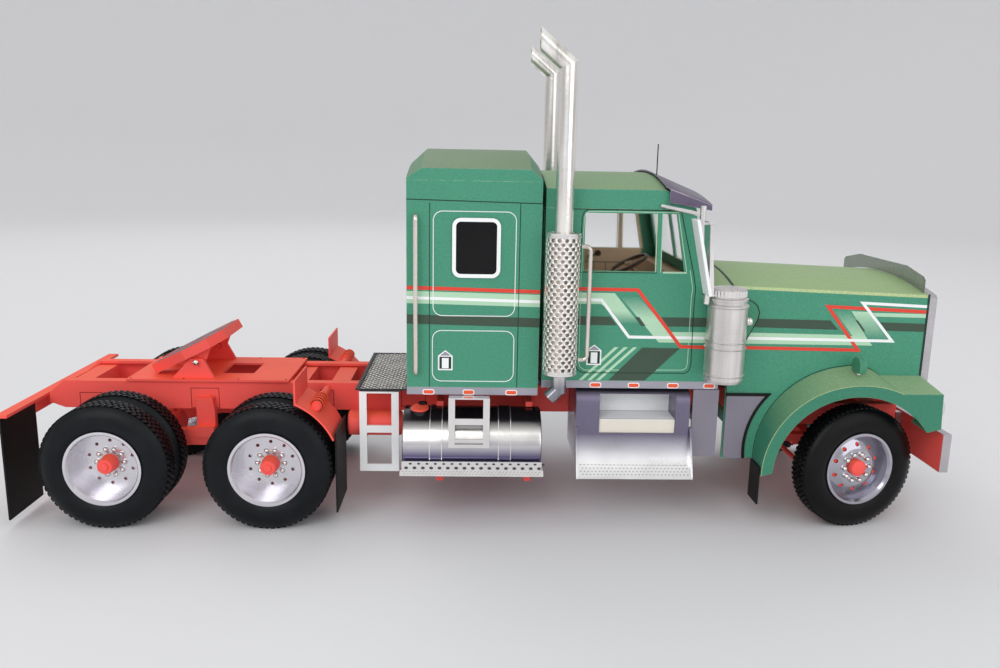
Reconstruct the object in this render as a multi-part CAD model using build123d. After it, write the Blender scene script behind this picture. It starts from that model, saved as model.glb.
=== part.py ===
from build123d import *
from math import cos, pi, radians, sin, tan
import os

os.makedirs("parts", exist_ok=True)

# A hand-made card model of a three-axle sleeper tractor, millimetres.
# X points forward, Y to the vehicle's left, Z up. The origin lies on the ground, under the middle of the
# model's box. Shapes that come in pairs are made on the left side, at positive Y, and mirrored.

# Card and sheet
CARD = 1.0            # walls of cab, sleeper and hood
THIN = 0.6            # flaps, straps and small sheet parts
FILM = 0.3            # clear window film
SEAT = 0.25           # gap between a part and the part that carries it

# Wheels
TYRE_R = 22.0
TYRE_W = 10.8
RIM_R = 12.6          # seat of the tyre on the rim
DUAL_PITCH = 12.8     # between the two tyres of a twin wheel
REAR_FACE = 48.6      # outer face of the outer rear tyre, from the middle
FRONT_FACE = 43.7     # outer face of the front tyre, wheels straight
SHAFT_R = 2.0
SHAFT_GAP = 0.25      # between a shaft and the bore that turns on it
HAND_HOLES = 10
HUB_NUTS = 10
REAR_NUTS_R, REAR_HOLES_R = 4.7, 7.7      # rings of nuts and hand holes
FRONT_NUTS_R, FRONT_HOLES_R = 4.95, 8.3

# Axle places
FRONT_X = 130.9
DRIVE_X = -73.3
TAIL_X = -128.4
KINGPIN_Y = 29.5
STEER_REST = 12.0     # the wheels stand turned to the left by this many degrees

# Frame
RAIL_TOP = 44.7
RAIL_H = 10.2
RAIL_Y = 17.3         # outer face of a rail
RAIL_FLANGE = 4.0
RAIL_REAR = -159.0
RAIL_KNEE = -153.5
RAIL_REAR_DROP = 4.7
RAIL_FRONT = 157.5
FRONT_DROP_X = 97.0   # ahead of this the rails run lower, under the hood

# Fifth wheel
PIN_X = -105.4
PIN_Z = 51.7
PIN_R = 0.8
PLATE_X = (-130.4, -71.3)
PLATE_T = 0.8
WHEEL_TILT = 27.0     # rear edge down, as it rests
WHEEL_L = (-17.4, 13.0)
WHEEL_W = 35.0
WHEEL_T = 3.6
WHEEL_LIFT = 2.6      # underside of the top plate above the pin's axis
LUG_Y = 13.0
KING_R = 1.6          # seat for a trailer's king pin
KING_X = -0.5         # its place along the plate, from the pins
SLOT_HALF = 0.9       # half the throat's width where it meets the seat
THROAT_HALF = 4.2     # and at the plate's rear edge
THROAT_X = -8.0       # where the throat turns into the slot
BASE_HOLE = (-98.5, -86.5, 8.0)    # the hole in the base plate: ends along X and half width

# Cab and sleeper
SLEEPER_X = (-26.0, 18.8)
SLEEPER_Y = 42.0
SLEEPER_Z = 50.3
SLEEPER_EAVE = 120.0
CAB_X = (20.2, 81.8)
CAB_Y = 40.0
CAB_Z = 52.6
CAB_SEAM = 111.6      # top of the side walls, where the roof cap sits
CAB_EAVE = CAB_SEAM + 6.4
CAP_CROWN = CAB_EAVE + 5.2
STRIP_H = 2.6         # silver strip along the base
STRIP_T = 1.2

# Hood
HOOD_X = (86.0, 155.6)
HOOD_HALF = 35.5
HOOD_REAR = (85.6, 89.8)      # shoulder and crown height
HOOD_NOSE = (83.2, 87.2)
HOOD_EDGE = 0.9               # the fold along each shoulder
HOOD_BOTTOM = 44.0
SKIRT_BOTTOM = 23.4           # lower edge of the hood's sides behind the front wheels
ARCH = (130.5, 20.0, 29.2)    # X, Z and radius of the opening over each front wheel

# Front fenders and bumper
FENDER_W = 10.25
FENDER_Y = (HOOD_HALF + SEAT, HOOD_HALF + SEAT + FENDER_W)
BUMPER_X = (160.4, 163.4)
BUMPER_Z = (22.2, 36.0)


def block(x0, x1, y0, y1, z0, z1):
    """A box between six planes."""
    return Pos((x0 + x1) / 2, (y0 + y1) / 2, (z0 + z1) / 2) * Box(x1 - x0, y1 - y0, z1 - z0)


def side_profile(points, y0, y1):
    """A prism whose outline is drawn in X and Z, between two Y planes."""
    face = make_face(Polyline(*[(x, z) for x, z in points], close=True))
    return Plane((0, y0, 0), x_dir=(1, 0, 0), z_dir=(0, -1, 0)) * extrude(face, y0 - y1)


def cross_profile(points, x0, x1):
    """A prism whose outline is drawn in Y and Z, between two X planes."""
    face = make_face(Polyline(*points, close=True))
    return Plane((x0, 0, 0), x_dir=(0, 1, 0), z_dir=(1, 0, 0)) * extrude(face, x1 - x0)


def lathe_y(points, x, z):
    """A body of revolution about a line along Y; points are (radius, y)."""
    face = make_face(Polyline(*points, close=True))
    return Pos(x, 0, z) * revolve(Plane.XY * face, Axis.Y)


def lathe_z(points, x, y):
    """A body of revolution about an upright line; points are (radius, z)."""
    face = make_face(Polyline(*points, close=True))
    return Pos(x, y, 0) * revolve(Plane.XZ * face, Axis.Z)


def rod(a, b, r):
    """A round bar from a to b."""
    way = Vector(*b) - Vector(*a)
    return Plane(origin=a, z_dir=way) * Pos(0, 0, way.length / 2) * Cylinder(r, way.length)


def bent_rod(points, r, bend):
    """A round bar along straight runs joined by arcs."""
    path = FilletPolyline(*points, radius=bend)
    start = Plane(origin=path @ 0, z_dir=path % 0)
    return sweep(start * Circle(r), path=path)


def mirrored(shape):
    return mirror(shape, about=Plane.XZ)


def both(shape):
    """The shape and its mirror image on the other side."""
    return [shape, mirrored(shape)]


def flat(items):
    out = []
    for item in items:
        out.extend(item.solids())
    return out


def save(name, *items):
    solids = flat(items)
    shape = solids[0] if len(solids) == 1 else Compound(children=solids)
    export_step(shape, f"parts/{name}.step")


def fused(first, *rest):
    shape = first
    for other in rest:
        shape = shape + other
    return shape


# Frame rails: C channels, open to the middle, lower ahead of the cab
def rail():
    top, low = RAIL_TOP, RAIL_TOP - RAIL_H
    outline = [(RAIL_REAR, top - RAIL_REAR_DROP), (RAIL_KNEE, top), (FRONT_DROP_X, top),
               (FRONT_DROP_X + 8, top - 6), (RAIL_FRONT, top - 6), (RAIL_FRONT, low - 4),
               (FRONT_DROP_X + 8, low - 4), (FRONT_DROP_X, low), (RAIL_KNEE, low), (RAIL_REAR, low + 2)]
    whole = side_profile(outline, RAIL_Y - RAIL_FLANGE, RAIL_Y)
    inner = offset(make_face(Polyline(*outline, close=True)), -CARD, kind=Kind.INTERSECTION)
    pocket = Plane((0, RAIL_Y - RAIL_FLANGE, 0), x_dir=(1, 0, 0), z_dir=(0, -1, 0)) * extrude(
        inner, -(RAIL_FLANGE - CARD))
    return whole - pocket


def cross_channel(x, depth=7.0, height=8.0):
    """A cross channel between the rails, its open side to the rear."""
    y = RAIL_Y - RAIL_FLANGE - SEAT
    top = RAIL_TOP - CARD - 0.4
    whole = block(x - depth, x, -y, y, top - height, top)
    return whole - block(x - depth, x - CARD, -y, y, top - height + CARD, top - CARD)


def lower_channel(x):
    y = RAIL_Y - RAIL_FLANGE - SEAT
    whole = block(x - 6, x, -y, y, RAIL_TOP - 12.5, RAIL_TOP - 7.5)
    return whole - block(x - 6, x - CARD, -y, y, RAIL_TOP - 11.5, RAIL_TOP - 8.5)


save("frame_rails", *both(rail()))
CROSS_X = (-146.0, -66.0, -50.0, -8.0, 40.0, 86.0)
save("frame_crossmembers", *[cross_channel(x) for x in CROSS_X], *[lower_channel(x) for x in (118.0, 154.0)])


# Fifth wheel: base plate with its hole, two trapezoid brackets with pins, and the tilting top plate
def plate_base():
    z = RAIL_TOP + SEAT
    body = block(PLATE_X[0], PLATE_X[1], -RAIL_Y - 1, RAIL_Y + 1, z, z + PLATE_T)
    hole_x0, hole_x1, hole_y = BASE_HOLE
    body -= block(hole_x0, hole_x1, -hole_y, hole_y, z - 1, z + PLATE_T + 1)
    top = z + PLATE_T
    bracket_y = LUG_Y + 1.2 + SEAT
    outline = [(PIN_X - 9, top), (PIN_X - 2.4, PIN_Z + 1.3), (PIN_X + 2.4, PIN_Z + 1.3), (PIN_X + 6.2, top)]
    bracket = side_profile(outline, bracket_y, bracket_y + 1.2)
    pin = rod((PIN_X, bracket_y + 1.2, PIN_Z), (PIN_X, LUG_Y - 0.6, PIN_Z), PIN_R)
    head = rod((PIN_X, bracket_y + 2.0, PIN_Z), (PIN_X, bracket_y + 1.2, PIN_Z), PIN_R * 1.2)
    side = fused(bracket, pin, head)
    return fused(body, side, mirrored(side))


def top_plate():
    """The tilting plate, drawn level about the pin and then tipped to the rear."""
    rear, front = WHEEL_L
    half = WHEEL_W / 2
    with BuildSketch() as plan:
        with BuildLine():
            Polyline((front, -half * 0.62), (front, half * 0.62), (front - 5, half), (rear + 15, half),
                     (rear, half * 0.62), (rear, THROAT_HALF), (THROAT_X, SLOT_HALF), (KING_X, SLOT_HALF),
                     (KING_X, -SLOT_HALF), (THROAT_X, -SLOT_HALF), (rear, -THROAT_HALF), (rear, -half * 0.62),
                     (rear + 15, -half), (front - 5, -half), close=True)
        make_face()
    plate = Pos(0, 0, WHEEL_LIFT) * extrude(plan.sketch, WHEEL_T)
    plate -= Pos(KING_X, 0, WHEEL_LIFT + WHEEL_T / 2) * Cylinder(KING_R, WHEEL_T + 2)
    for side in (-1, 1):
        y0, y1 = sorted((side * LUG_Y, side * (LUG_Y + 1.2)))
        lug = side_profile([(-7, WHEEL_LIFT), (-2, -1.9), (2, -1.9), (7, WHEEL_LIFT)], y0, y1)
        lug -= rod((0, y0 - 1, 0), (0, y1 + 1, 0), PIN_R + SHAFT_GAP)
        plate += lug
    return Pos(PIN_X, 0, PIN_Z) * Rot(0, -WHEEL_TILT, 0) * plate


save("fifth_wheel_base", plate_base())
save("fifth_wheel", top_plate())


# Rear cross bar with its lip, and the flaps
BAR_X = (-163.4, -159.4)
BAR_TOP = 40.0
BAR_Y = REAR_FACE - 2.6
FLAP_Y = (23.0, BAR_Y)


def flap(x, y0, y1, z0, z1):
    return block(x - THIN, x, y0, y1, z0, z1)


bar = fused(block(BAR_X[0], BAR_X[0] + CARD, -BAR_Y, BAR_Y, 33.5, BAR_TOP),
            block(BAR_X[0], BAR_X[1], -BAR_Y, BAR_Y, BAR_TOP - CARD, BAR_TOP))
save("flap_hanger", bar)

# Quarter fenders ahead of the drive wheels: a flange, a curved sheet and a coiled bracket
QF_R = TYRE_R + 2.4
QF_Y = (24.5, BAR_Y)
QF_FROM, QF_TO = 23.0, 66.0    # angles of the curved sheet, from straight up, towards the front
QF_ARM = (38.0, 1.4, 41.0)     # angle, radius and outer end of the arm that carries it


def quarter_fender():
    hub = (DRIVE_X, TYRE_R)

    def at(r, a):
        return (hub[0] + r * sin(radians(a)), hub[1] + r * cos(radians(a)))
    a0, a1 = QF_FROM, QF_TO
    mid = (a0 + a1) / 2
    with BuildSketch() as s:
        with BuildLine():
            ThreePointArc(at(QF_R, a0), at(QF_R, mid), at(QF_R, a1))
            Line(at(QF_R, a1), at(QF_R + THIN, a1))
            ThreePointArc(at(QF_R + THIN, a1), at(QF_R + THIN, mid), at(QF_R + THIN, a0))
            Line(at(QF_R + THIN, a0), at(QF_R, a0))
        make_face()
    plane = Plane((0, QF_Y[0], 0), x_dir=(1, 0, 0), z_dir=(0, -1, 0))
    sheet = plane * extrude(s.sketch, -(QF_Y[1] - QF_Y[0]))
    root = at(QF_R, a0)
    flange = block(root[0], root[0] + THIN, QF_Y[0], QF_Y[1], root[1], root[1] + 8.4)
    angle, r, end = QF_ARM
    x, z = at(QF_R + THIN + r - 0.3, angle)
    arm = rod((x, RAIL_Y + SEAT, z), (x, end, z), r)
    coil = [rod((x, y, z), (x, y + 1.0, z), r + 0.5) for y in (27.0, 29.0, 31.0, 33.0)]
    washer = rod((x, end - 1.6, z), (x, end - 0.8, z), r + 0.4)
    return fused(sheet, flange, arm, washer, *coil)


save("quarter_fenders", *both(quarter_fender()))
QF_END_X = DRIVE_X + (QF_R + THIN) * sin(radians(QF_TO))
QF_END_Z = TYRE_R + (QF_R + THIN) * cos(radians(QF_TO))
flaps = []
for x, y0, y1, z0, z1 in ((BAR_X[0] + CARD + THIN + SEAT, FLAP_Y[0], FLAP_Y[1], 2.5, BAR_TOP - CARD - 0.3),
                          (QF_END_X + THIN + SEAT, QF_Y[0], QF_Y[1], 6.0, QF_END_Z + 2.5),
                          (97.4, HOOD_HALF, FENDER_Y[1] - 1.0, 9.5, SKIRT_BOTTOM - SEAT)):
    flaps += both(flap(x, y0, y1, z0, z1))
save("mudflaps", *flaps)


# Rear suspension: centre brackets on the rails and a walking beam on each side
AXLE_R = 2.6


def suspension():
    x = (DRIVE_X + TAIL_X) / 2
    y0 = RAIL_Y + SEAT
    low, high = TYRE_R - 3.0, TYRE_R + 3.0
    bracket = block(x - 4.2, x + 1.6, y0, y0 + 2.0, high, RAIL_TOP - 5.8)
    lever = side_profile([(x + 0.8, RAIL_TOP - 4.8), (x + 2.0, RAIL_TOP - 5.4), (x + 2.8, RAIL_TOP - 10.6),
                          (x + 2.8, high), (x + 1.6, high), (x + 1.6, RAIL_TOP - 10.4)], y0, y0 + 3.0)
    saddle = block(x - 4.2, x + 2.8, y0, y0 + 5.2, high, high + 4.0)
    outline = [(TAIL_X - 4, low), (TAIL_X + 4, low), (x - 6, TYRE_R), (x + 6, TYRE_R), (DRIVE_X - 4, low),
               (DRIVE_X + 4, low), (DRIVE_X + 4, high), (x + 6, high + 3.0), (x - 6, high + 3.0),
               (TAIL_X - 4, high)]
    beam = side_profile(outline, y0 + 0.6, y0 + 4.6)
    for axle_x in (DRIVE_X, TAIL_X):
        beam -= rod((axle_x, 0, TYRE_R), (axle_x, 30, TYRE_R), AXLE_R + SEAT)
    return fused(bracket, lever, saddle, beam)


save("rear_suspension", *both(suspension()))


# Rear axles: tube, differential drum, shaft ends that carry the wheels
DISC_Y = REAR_FACE - 8.4       # face of the wheel disc, inside the outer rim


def rear_axle(x):
    tube = rod((x, -24.0, TYRE_R), (x, 24.0, TYRE_R), AXLE_R)
    ends = rod((x, -(DISC_Y - 1.5), TYRE_R), (x, DISC_Y - 1.5, TYRE_R), SHAFT_R)
    drum = Pos(x, 0, TYRE_R) * (Sphere(8.5) & Box(17, 13, 17))
    nose = rod((x, 0, TYRE_R), (x + 12, 0, TYRE_R + 3), 3.6)
    return fused(tube, ends, drum, nose)


save("rear_axles", rear_axle(DRIVE_X), rear_axle(TAIL_X))


# Wheels
def tyre(y_in, y_out):
    """One tyre between two Y planes, about the Y axis."""
    mid = (y_in + y_out) / 2
    half = (y_out - y_in) / 2
    ring = [(RIM_R, -0.80), (14.0, -1.0), (19.0, -1.0), (21.2, -0.86), (TYRE_R, -0.70),
            (TYRE_R, 0.70), (21.2, 0.86), (19.0, 1.0), (14.0, 1.0), (RIM_R, 0.80)]
    return lathe_y([(r, mid + half * t) for r, t in ring], 0, 0)


def hub_nuts(count, ring_r, y, nut_r=0.75, height=0.9):
    nuts = []
    for k in range(count):
        a = 2 * pi * k / count
        nuts.append(Pos(ring_r * cos(a), y + height / 2, ring_r * sin(a)) * Rot(90, 0, 0)
                    * extrude(RegularPolygon(nut_r, 6), height / 2, both=True))
    return nuts


def holes(count, ring_r, y, hole_r):
    out = []
    for k in range(count):
        a = 2 * pi * (k + 0.5) / count
        out.append(Pos(ring_r * cos(a), y, ring_r * sin(a)) * Rot(90, 0, 0) * Cylinder(hole_r, 6))
    return out


def rear_rim():
    """The twin rim with its dished disc, hub and nuts, outer face to +Y."""
    y_out = REAR_FACE - 0.5
    y_in = REAR_FACE - DUAL_PITCH - TYRE_W + 0.5
    barrel = lathe_y([(RIM_R - 1.0, y_in), (RIM_R, y_in), (RIM_R, y_out - 0.45), (RIM_R + 0.5, y_out),
                      (RIM_R - 0.4, y_out), (RIM_R - 1.0, y_out - 0.8)], 0, 0)
    disc = lathe_y([(SHAFT_R + SHAFT_GAP, DISC_Y - 1.2), (RIM_R - 0.9, DISC_Y - 1.2), (RIM_R - 0.9, DISC_Y),
                    (3.7, DISC_Y), (3.4, DISC_Y + 1.0), (SHAFT_R + SHAFT_GAP, DISC_Y + 1.0)], 0, 0)
    hub = lathe_y([(0, DISC_Y + 0.4), (2.9, DISC_Y + 0.4), (2.5, DISC_Y + 5.4), (1.1, DISC_Y + 5.6),
                   (1.1, DISC_Y + 6.4), (0, DISC_Y + 6.4)], 0, 0)
    bore = SHAFT_R + SHAFT_GAP
    sleeve = lathe_y([(bore, y_in + 1), (SHAFT_R + 1.4, y_in + 1), (SHAFT_R + 1.4, DISC_Y - 1.0),
                      (bore, DISC_Y - 1.0)], 0, 0)
    body = fused(barrel, disc, hub, sleeve, *hub_nuts(HUB_NUTS, REAR_NUTS_R, DISC_Y - 0.1))
    for hole in holes(HAND_HOLES, REAR_HOLES_R, DISC_Y, 0.6):
        body -= hole
    return body


def front_rim():
    """The single front rim: a shallow disc that bulges outwards, red cap, chrome nuts."""
    y_out = FRONT_FACE - 0.5
    y_in = FRONT_FACE - TYRE_W + 0.5
    barrel = lathe_y([(RIM_R - 1.0, y_in), (RIM_R, y_in), (RIM_R, y_out - 0.45), (RIM_R + 0.5, y_out),
                      (RIM_R - 0.4, y_out), (RIM_R - 1.0, y_out - 0.8)], 0, 0)
    face = y_out - 2.4
    bore = SHAFT_R + SHAFT_GAP
    disc = lathe_y([(bore, face - 1.6), (7.5, face - 1.6), (RIM_R - 0.9, face - 3.4),
                    (RIM_R - 0.9, face - 2.2), (7.9, face - 0.4), (6.8, face), (bore, face)], 0, 0)
    cap = lathe_y([(0, face - 0.1), (2.9, face - 0.1), (2.75, face + 1.7), (1.4, face + 2.3),
                   (0, face + 2.3)], 0, 0)
    body = fused(barrel, disc, cap, *hub_nuts(HUB_NUTS, FRONT_NUTS_R, face - 0.1))
    for hole in holes(HAND_HOLES, FRONT_HOLES_R, face - 2, 0.75):
        body -= hole
    return body


def on_axle(shape, x, side):
    """Puts a wheel piece made for the left side on its axle."""
    placed = Pos(x, 0, TYRE_R) * shape
    return placed if side > 0 else mirrored(placed)


SIDES = (("left", 1), ("right", -1))
for place, axle_x in (("drive", DRIVE_X), ("tail", TAIL_X)):
    for word, side in SIDES:
        outer = tyre(REAR_FACE - TYRE_W, REAR_FACE)
        inner = tyre(REAR_FACE - DUAL_PITCH - TYRE_W, REAR_FACE - DUAL_PITCH)
        save(f"{place}_tyres_{word}", on_axle(outer, axle_x, side), on_axle(inner, axle_x, side))
        save(f"{place}_rim_{word}", on_axle(rear_rim(), axle_x, side))


def steered(shape, side):
    """Turns a front piece, drawn straight ahead, about its king pin to the angle at which it stands."""
    pin_y = side * KINGPIN_Y
    return Pos(FRONT_X, pin_y, 0) * Rot(0, 0, STEER_REST) * Pos(-FRONT_X, -pin_y, 0) * shape


# Front axle beam with leaf springs, knuckles and tie rod
FORK_Z = (TYRE_R - 5.6, TYRE_R + 4.2)     # undersides of the fork's two arms
FORK_T = 1.4
KINGPIN_R = 0.8
ARM_X = -9.0          # the steering arm's eye, behind the king pin
ARM_T = 1.2
ARM_PIN_R = 0.6
TIE_Z = TYRE_R - 7.0


def front_axle():
    body = block(FRONT_X - 2.2, FRONT_X + 2.2, -26.5, 26.5, TYRE_R - 4.0, TYRE_R + 0.5)
    for side in (-1, 1):
        king = (FRONT_X, side * KINGPIN_Y)
        head = rod((*king, TYRE_R - 2.5), (*king, TYRE_R + 2.5), 2.4)
        neck = block(FRONT_X - 2.0, FRONT_X + 2.0, *sorted((side * 25.5, side * (KINGPIN_Y - 1.0))),
                     TYRE_R - 2.2, TYRE_R + 2.2)
        pin = rod((*king, FORK_Z[0] - 0.8), (*king, FORK_Z[1] + 2.2), KINGPIN_R)
        y = side * (RAIL_Y - 2.0)
        leaves = []
        for half, z in ((24.0, TYRE_R + 3.8), (18.0, TYRE_R + 2.4), (12.0, TYRE_R + 1.0)):
            leaves.append(block(FRONT_X - half, FRONT_X + half, y - 2.0, y + 2.0, z - 0.7, z + 0.7))
        seat = block(FRONT_X - 3, FRONT_X + 3, y - 2.0, y + 2.0, TYRE_R, TYRE_R + 1.5)
        shackles = [block(FRONT_X + s * 22.0 - 1.5, FRONT_X + s * 22.0 + 1.5, y - 2.0, y + 2.0, TYRE_R + 4.0,
                          RAIL_TOP - RAIL_H - 4 - SEAT) for s in (-1, 1)]
        body = fused(body, head, neck, pin, *leaves, seat, *shackles)
    return body


def knuckle(side):
    """A fork round the axle's eye, a spindle outwards and a steering arm to the rear, drawn straight."""
    y = side * KINGPIN_Y
    eyes = [rod((FRONT_X, y, z), (FRONT_X, y, z + FORK_T), 2.6) for z in FORK_Z]
    y_far = side * (KINGPIN_Y + 3.4)
    web = block(FRONT_X - 2.4, FRONT_X + 2.4, *sorted((side * (KINGPIN_Y + 2.7), side * (KINGPIN_Y + 4.0))),
                FORK_Z[0], FORK_Z[1] + FORK_T)
    arms = [block(FRONT_X - 2.4, FRONT_X + 2.4, *sorted((y, y_far)), z, z + FORK_T) for z in FORK_Z]
    spindle = rod((FRONT_X, y_far, TYRE_R), (FRONT_X, side * (FRONT_FACE - 3.4), TYRE_R), SHAFT_R)
    arm = block(FRONT_X + ARM_X - 1.4, FRONT_X + 0.5, *sorted((y - side * 1.4, y + side * 1.4)), FORK_Z[0],
                FORK_Z[0] + ARM_T)
    body = fused(*eyes, web, *arms, spindle, arm)
    body -= rod((FRONT_X, y, FORK_Z[0] - 6), (FRONT_X, y, FORK_Z[1] + 9), KINGPIN_R + SHAFT_GAP)
    eye_x = FRONT_X + ARM_X
    body -= rod((eye_x, y, FORK_Z[0] - 6), (eye_x, y, FORK_Z[0] + 4), ARM_PIN_R + SHAFT_GAP)
    return steered(body, side)


def arm_eye(side):
    """Where the steering arm's eye stands, with the wheels turned as they rest."""
    a = radians(STEER_REST)
    return (FRONT_X + ARM_X * cos(a), side * KINGPIN_Y + ARM_X * sin(a))


def tie_rod():
    (x0, y0), (x1, y1) = arm_eye(-1), arm_eye(1)
    bar = rod((x0, y0, TIE_Z), (x1, y1, TIE_Z), 1.0)
    pin_top = FORK_Z[0] + ARM_T + 0.6
    pins = [rod((x, y, TIE_Z - 0.4), (x, y, pin_top), ARM_PIN_R) for x, y in ((x0, y0), (x1, y1))]
    return fused(bar, *pins)


save("front_axle", front_axle())
save("tie_rod", tie_rod())
for word, side in SIDES:
    save(f"knuckle_{word}", knuckle(side))
    save(f"front_tyre_{word}", steered(on_axle(tyre(FRONT_FACE - TYRE_W, FRONT_FACE), FRONT_X, side), side))
    save(f"front_rim_{word}", steered(on_axle(front_rim(), FRONT_X, side), side))

# Deck plate behind the sleeper, air tank under it and the white ladders
DECK_X = (-45.4, SLEEPER_X[0] - SEAT)
DECK_Y = 29.0
deck = block(DECK_X[0], DECK_X[1], -DECK_Y, DECK_Y, RAIL_TOP + SEAT, RAIL_TOP + SEAT + PLATE_T)
save("deck_plate", deck)
LADDER_X = (DECK_X[0] + 1.3, DECK_X[0] + 15.4)
LADDER_Z = (14.8, RAIL_TOP)
LADDER_T = 1.0
STILE_W = 2.6


def ladder():
    """Two stiles and two rungs, hung under the edge of the deck by a folded tab."""
    y0, y1 = DECK_Y - 0.3 - LADDER_T, DECK_Y - 0.3
    stiles = [block(x, x + STILE_W, y0, y1, *LADDER_Z) for x in (LADDER_X[0], LADDER_X[1] - STILE_W)]
    rungs = [block(*LADDER_X, y0, y1, z, z + STILE_W) for z in (LADDER_Z[0], LADDER_Z[0] + 14.6)]
    tab = block(*LADDER_X, y0 - 4.0, y1, RAIL_TOP - THIN, RAIL_TOP)
    return fused(*stiles, *rungs, tab)


save("deck_ladders", *both(ladder()))
AIR_TANK_R = 4.6
AIR_TANK_Z = 31.2
AIR_TANK_X = (-48.8, -29.2)
AIR_STRAP_X = (-45.0, -34.0)


def air_tank():
    near = RAIL_Y + SEAT
    y = near + AIR_TANK_R
    drum = rod((AIR_TANK_X[0], y, AIR_TANK_Z), (AIR_TANK_X[1], y, AIR_TANK_Z), AIR_TANK_R)
    drum = fillet(drum.edges().filter_by(GeomType.CIRCLE), 0.9)
    straps = [block(x, x + 2.0, near, near + 1.2, AIR_TANK_Z, RAIL_TOP - 4) for x in AIR_STRAP_X]
    return fused(drum, *straps)


save("air_tank", *both(air_tank()))

# Fuel tanks with straps, brackets and filler
TANK_X = (-27.6, 20.6)
TANK_R = 12.3
TANK_Y = 33.0
TANK_Z = 28.4


def tank():
    body = rod((TANK_X[0], TANK_Y, TANK_Z), (TANK_X[1], TANK_Y, TANK_Z), TANK_R)
    body = fillet(body.edges(), 0.8)
    x, top = TANK_X[0] + 6.5, TANK_Z + TANK_R
    cap = rod((x, TANK_Y, top - 1), (x, TANK_Y, top + 1.6), 1.6)
    return fused(body, cap)


def tank_bracket(x):
    """A red bracket that hangs the tank from the rail."""
    arm = block(x - 1.2, x + 1.2, RAIL_Y + SEAT, TANK_Y, 13.0, RAIL_TOP - 2)
    return arm - rod((x - 3, TANK_Y, TANK_Z), (x + 3, TANK_Y, TANK_Z), TANK_R + SEAT)


def strap(x):
    ring = rod((x - 1.1, TANK_Y, TANK_Z), (x + 1.1, TANK_Y, TANK_Z), TANK_R + 0.55)
    return ring - rod((x - 2, TANK_Y, TANK_Z), (x + 2, TANK_Y, TANK_Z), TANK_R + 0.1)


save("fuel_tanks", *both(tank()))
STRAP_X = (-18.0, 13.6)
brackets = []
for x in STRAP_X:
    brackets += both(tank_bracket(x + 3.0))
save("tank_brackets", *brackets)


def tank_steps():
    """Straps, an upper step and the long perforated shelf below the tank, foil-covered."""
    ring_a, ring_b = [strap(x) for x in STRAP_X]
    y = TANK_Y + TANK_R + 0.5
    shelf = block(TANK_X[0] - 0.6, TANK_X[1] + 0.6, y, y + THIN, 21.0, 26.8)
    lip = block(TANK_X[0] - 0.6, TANK_X[1] + 0.6, y - 2.6, y + THIN, 20.4, 21.0)
    stiles = [block(x, x + 1.8, y, y + THIN, 26.8, 49.0) for x in (-10.6, 3.0)]
    rungs = [block(-10.6, 4.8, y, y + THIN, z, z + 1.6) for z in (38.6, 33.0)]
    top = block(-10.6, 4.8, SLEEPER_Y + SEAT, y + THIN, 48.4, 49.0)
    return fused(ring_a, ring_b, shelf, lip, *stiles, *rungs, top)


save("tank_steps", *both(tank_steps()))

# Step boxes between tank and front wheel: a case with two steps let into its front and a tread below
BOX_X = (32.4, 72.0)
BOX_Y = (RAIL_Y + SEAT, 42.0)
BOX_Z = (24.5, 49.6)
BOX_ROUND = 5.0
NICHE_X = (BOX_X[0] + 8.2, BOX_X[1] - 4.8)      # the steps are let into this stretch of the front
NICHE_Z = (34.4, 39.2)                          # treads of the lower and the upper step
NICHE_DEPTH = (5.5, 11.0)
APRON_OUT = 6.2                                 # how far the apron's lip stands out
APRON_LOW = 19.8
APRON_X1 = BOX_X[1] + 0.8


def step_box():
    (y0, y1), (z0, z1) = BOX_Y, BOX_Z
    case = block(*BOX_X, y0, y1, z0, z1)
    along = case.edges().filter_by(Axis.X)
    case = fillet(along.sort_by(lambda e: e.center().Y + e.center().Z)[-1], BOX_ROUND)
    for tread, depth in zip(NICHE_Z, NICHE_DEPTH):
        case -= block(*NICHE_X, y1 - depth, y1 + 1, tread, z1 - BOX_ROUND * 0.3)
    lip = y1 + APRON_OUT
    with BuildSketch() as s:
        with BuildLine():
            ThreePointArc((y1, 33.5), (y1 + 2.1, 25.5), (lip, APRON_LOW + 0.8))
            Line((lip, APRON_LOW + 0.8), (lip, APRON_LOW))
            ThreePointArc((lip, APRON_LOW), (y1 + 2.9, 22.6), (y1 + 1.4, z0))
            Polyline((y1 + 1.4, z0), (y1 - 1, z0), (y1 - 1, 33.5), (y1, 33.5))
        make_face()
    end = Plane((BOX_X[0], 0, 0), x_dir=(0, 1, 0), z_dir=(1, 0, 0))
    apron = end * extrude(s.sketch, APRON_X1 - BOX_X[0])
    cheek = [(y1 - 1, z0), (y1 - 1, 36.5), (y1 + 0.4, 36.5), (lip + 0.4, APRON_LOW + 0.8),
             (lip + 0.4, APRON_LOW), (y1 + 2.9, 22.6), (y1 + 1.4, z0)]
    cheeks = [cross_profile(cheek, x, x + THIN) for x in (BOX_X[0], APRON_X1 - THIN)]
    return fused(case, apron, *cheeks)


save("step_boxes", *both(step_box()))

# Sleeper: sides with a window cut, ends, arched roof
S_WIN = (-10.0, 4.4, 89.0, 107.2)


def sleeper_side():
    y0, y1 = SLEEPER_Y - CARD, SLEEPER_Y
    wall = block(SLEEPER_X[0], SLEEPER_X[1], y0, y1, SLEEPER_Z, SLEEPER_EAVE)
    w = S_WIN
    hole = block(w[0], w[1], y0 - 1, y1 + 1, w[2], w[3])
    return wall - fillet(hole.edges().filter_by(Axis.Y), 2.0)


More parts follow.
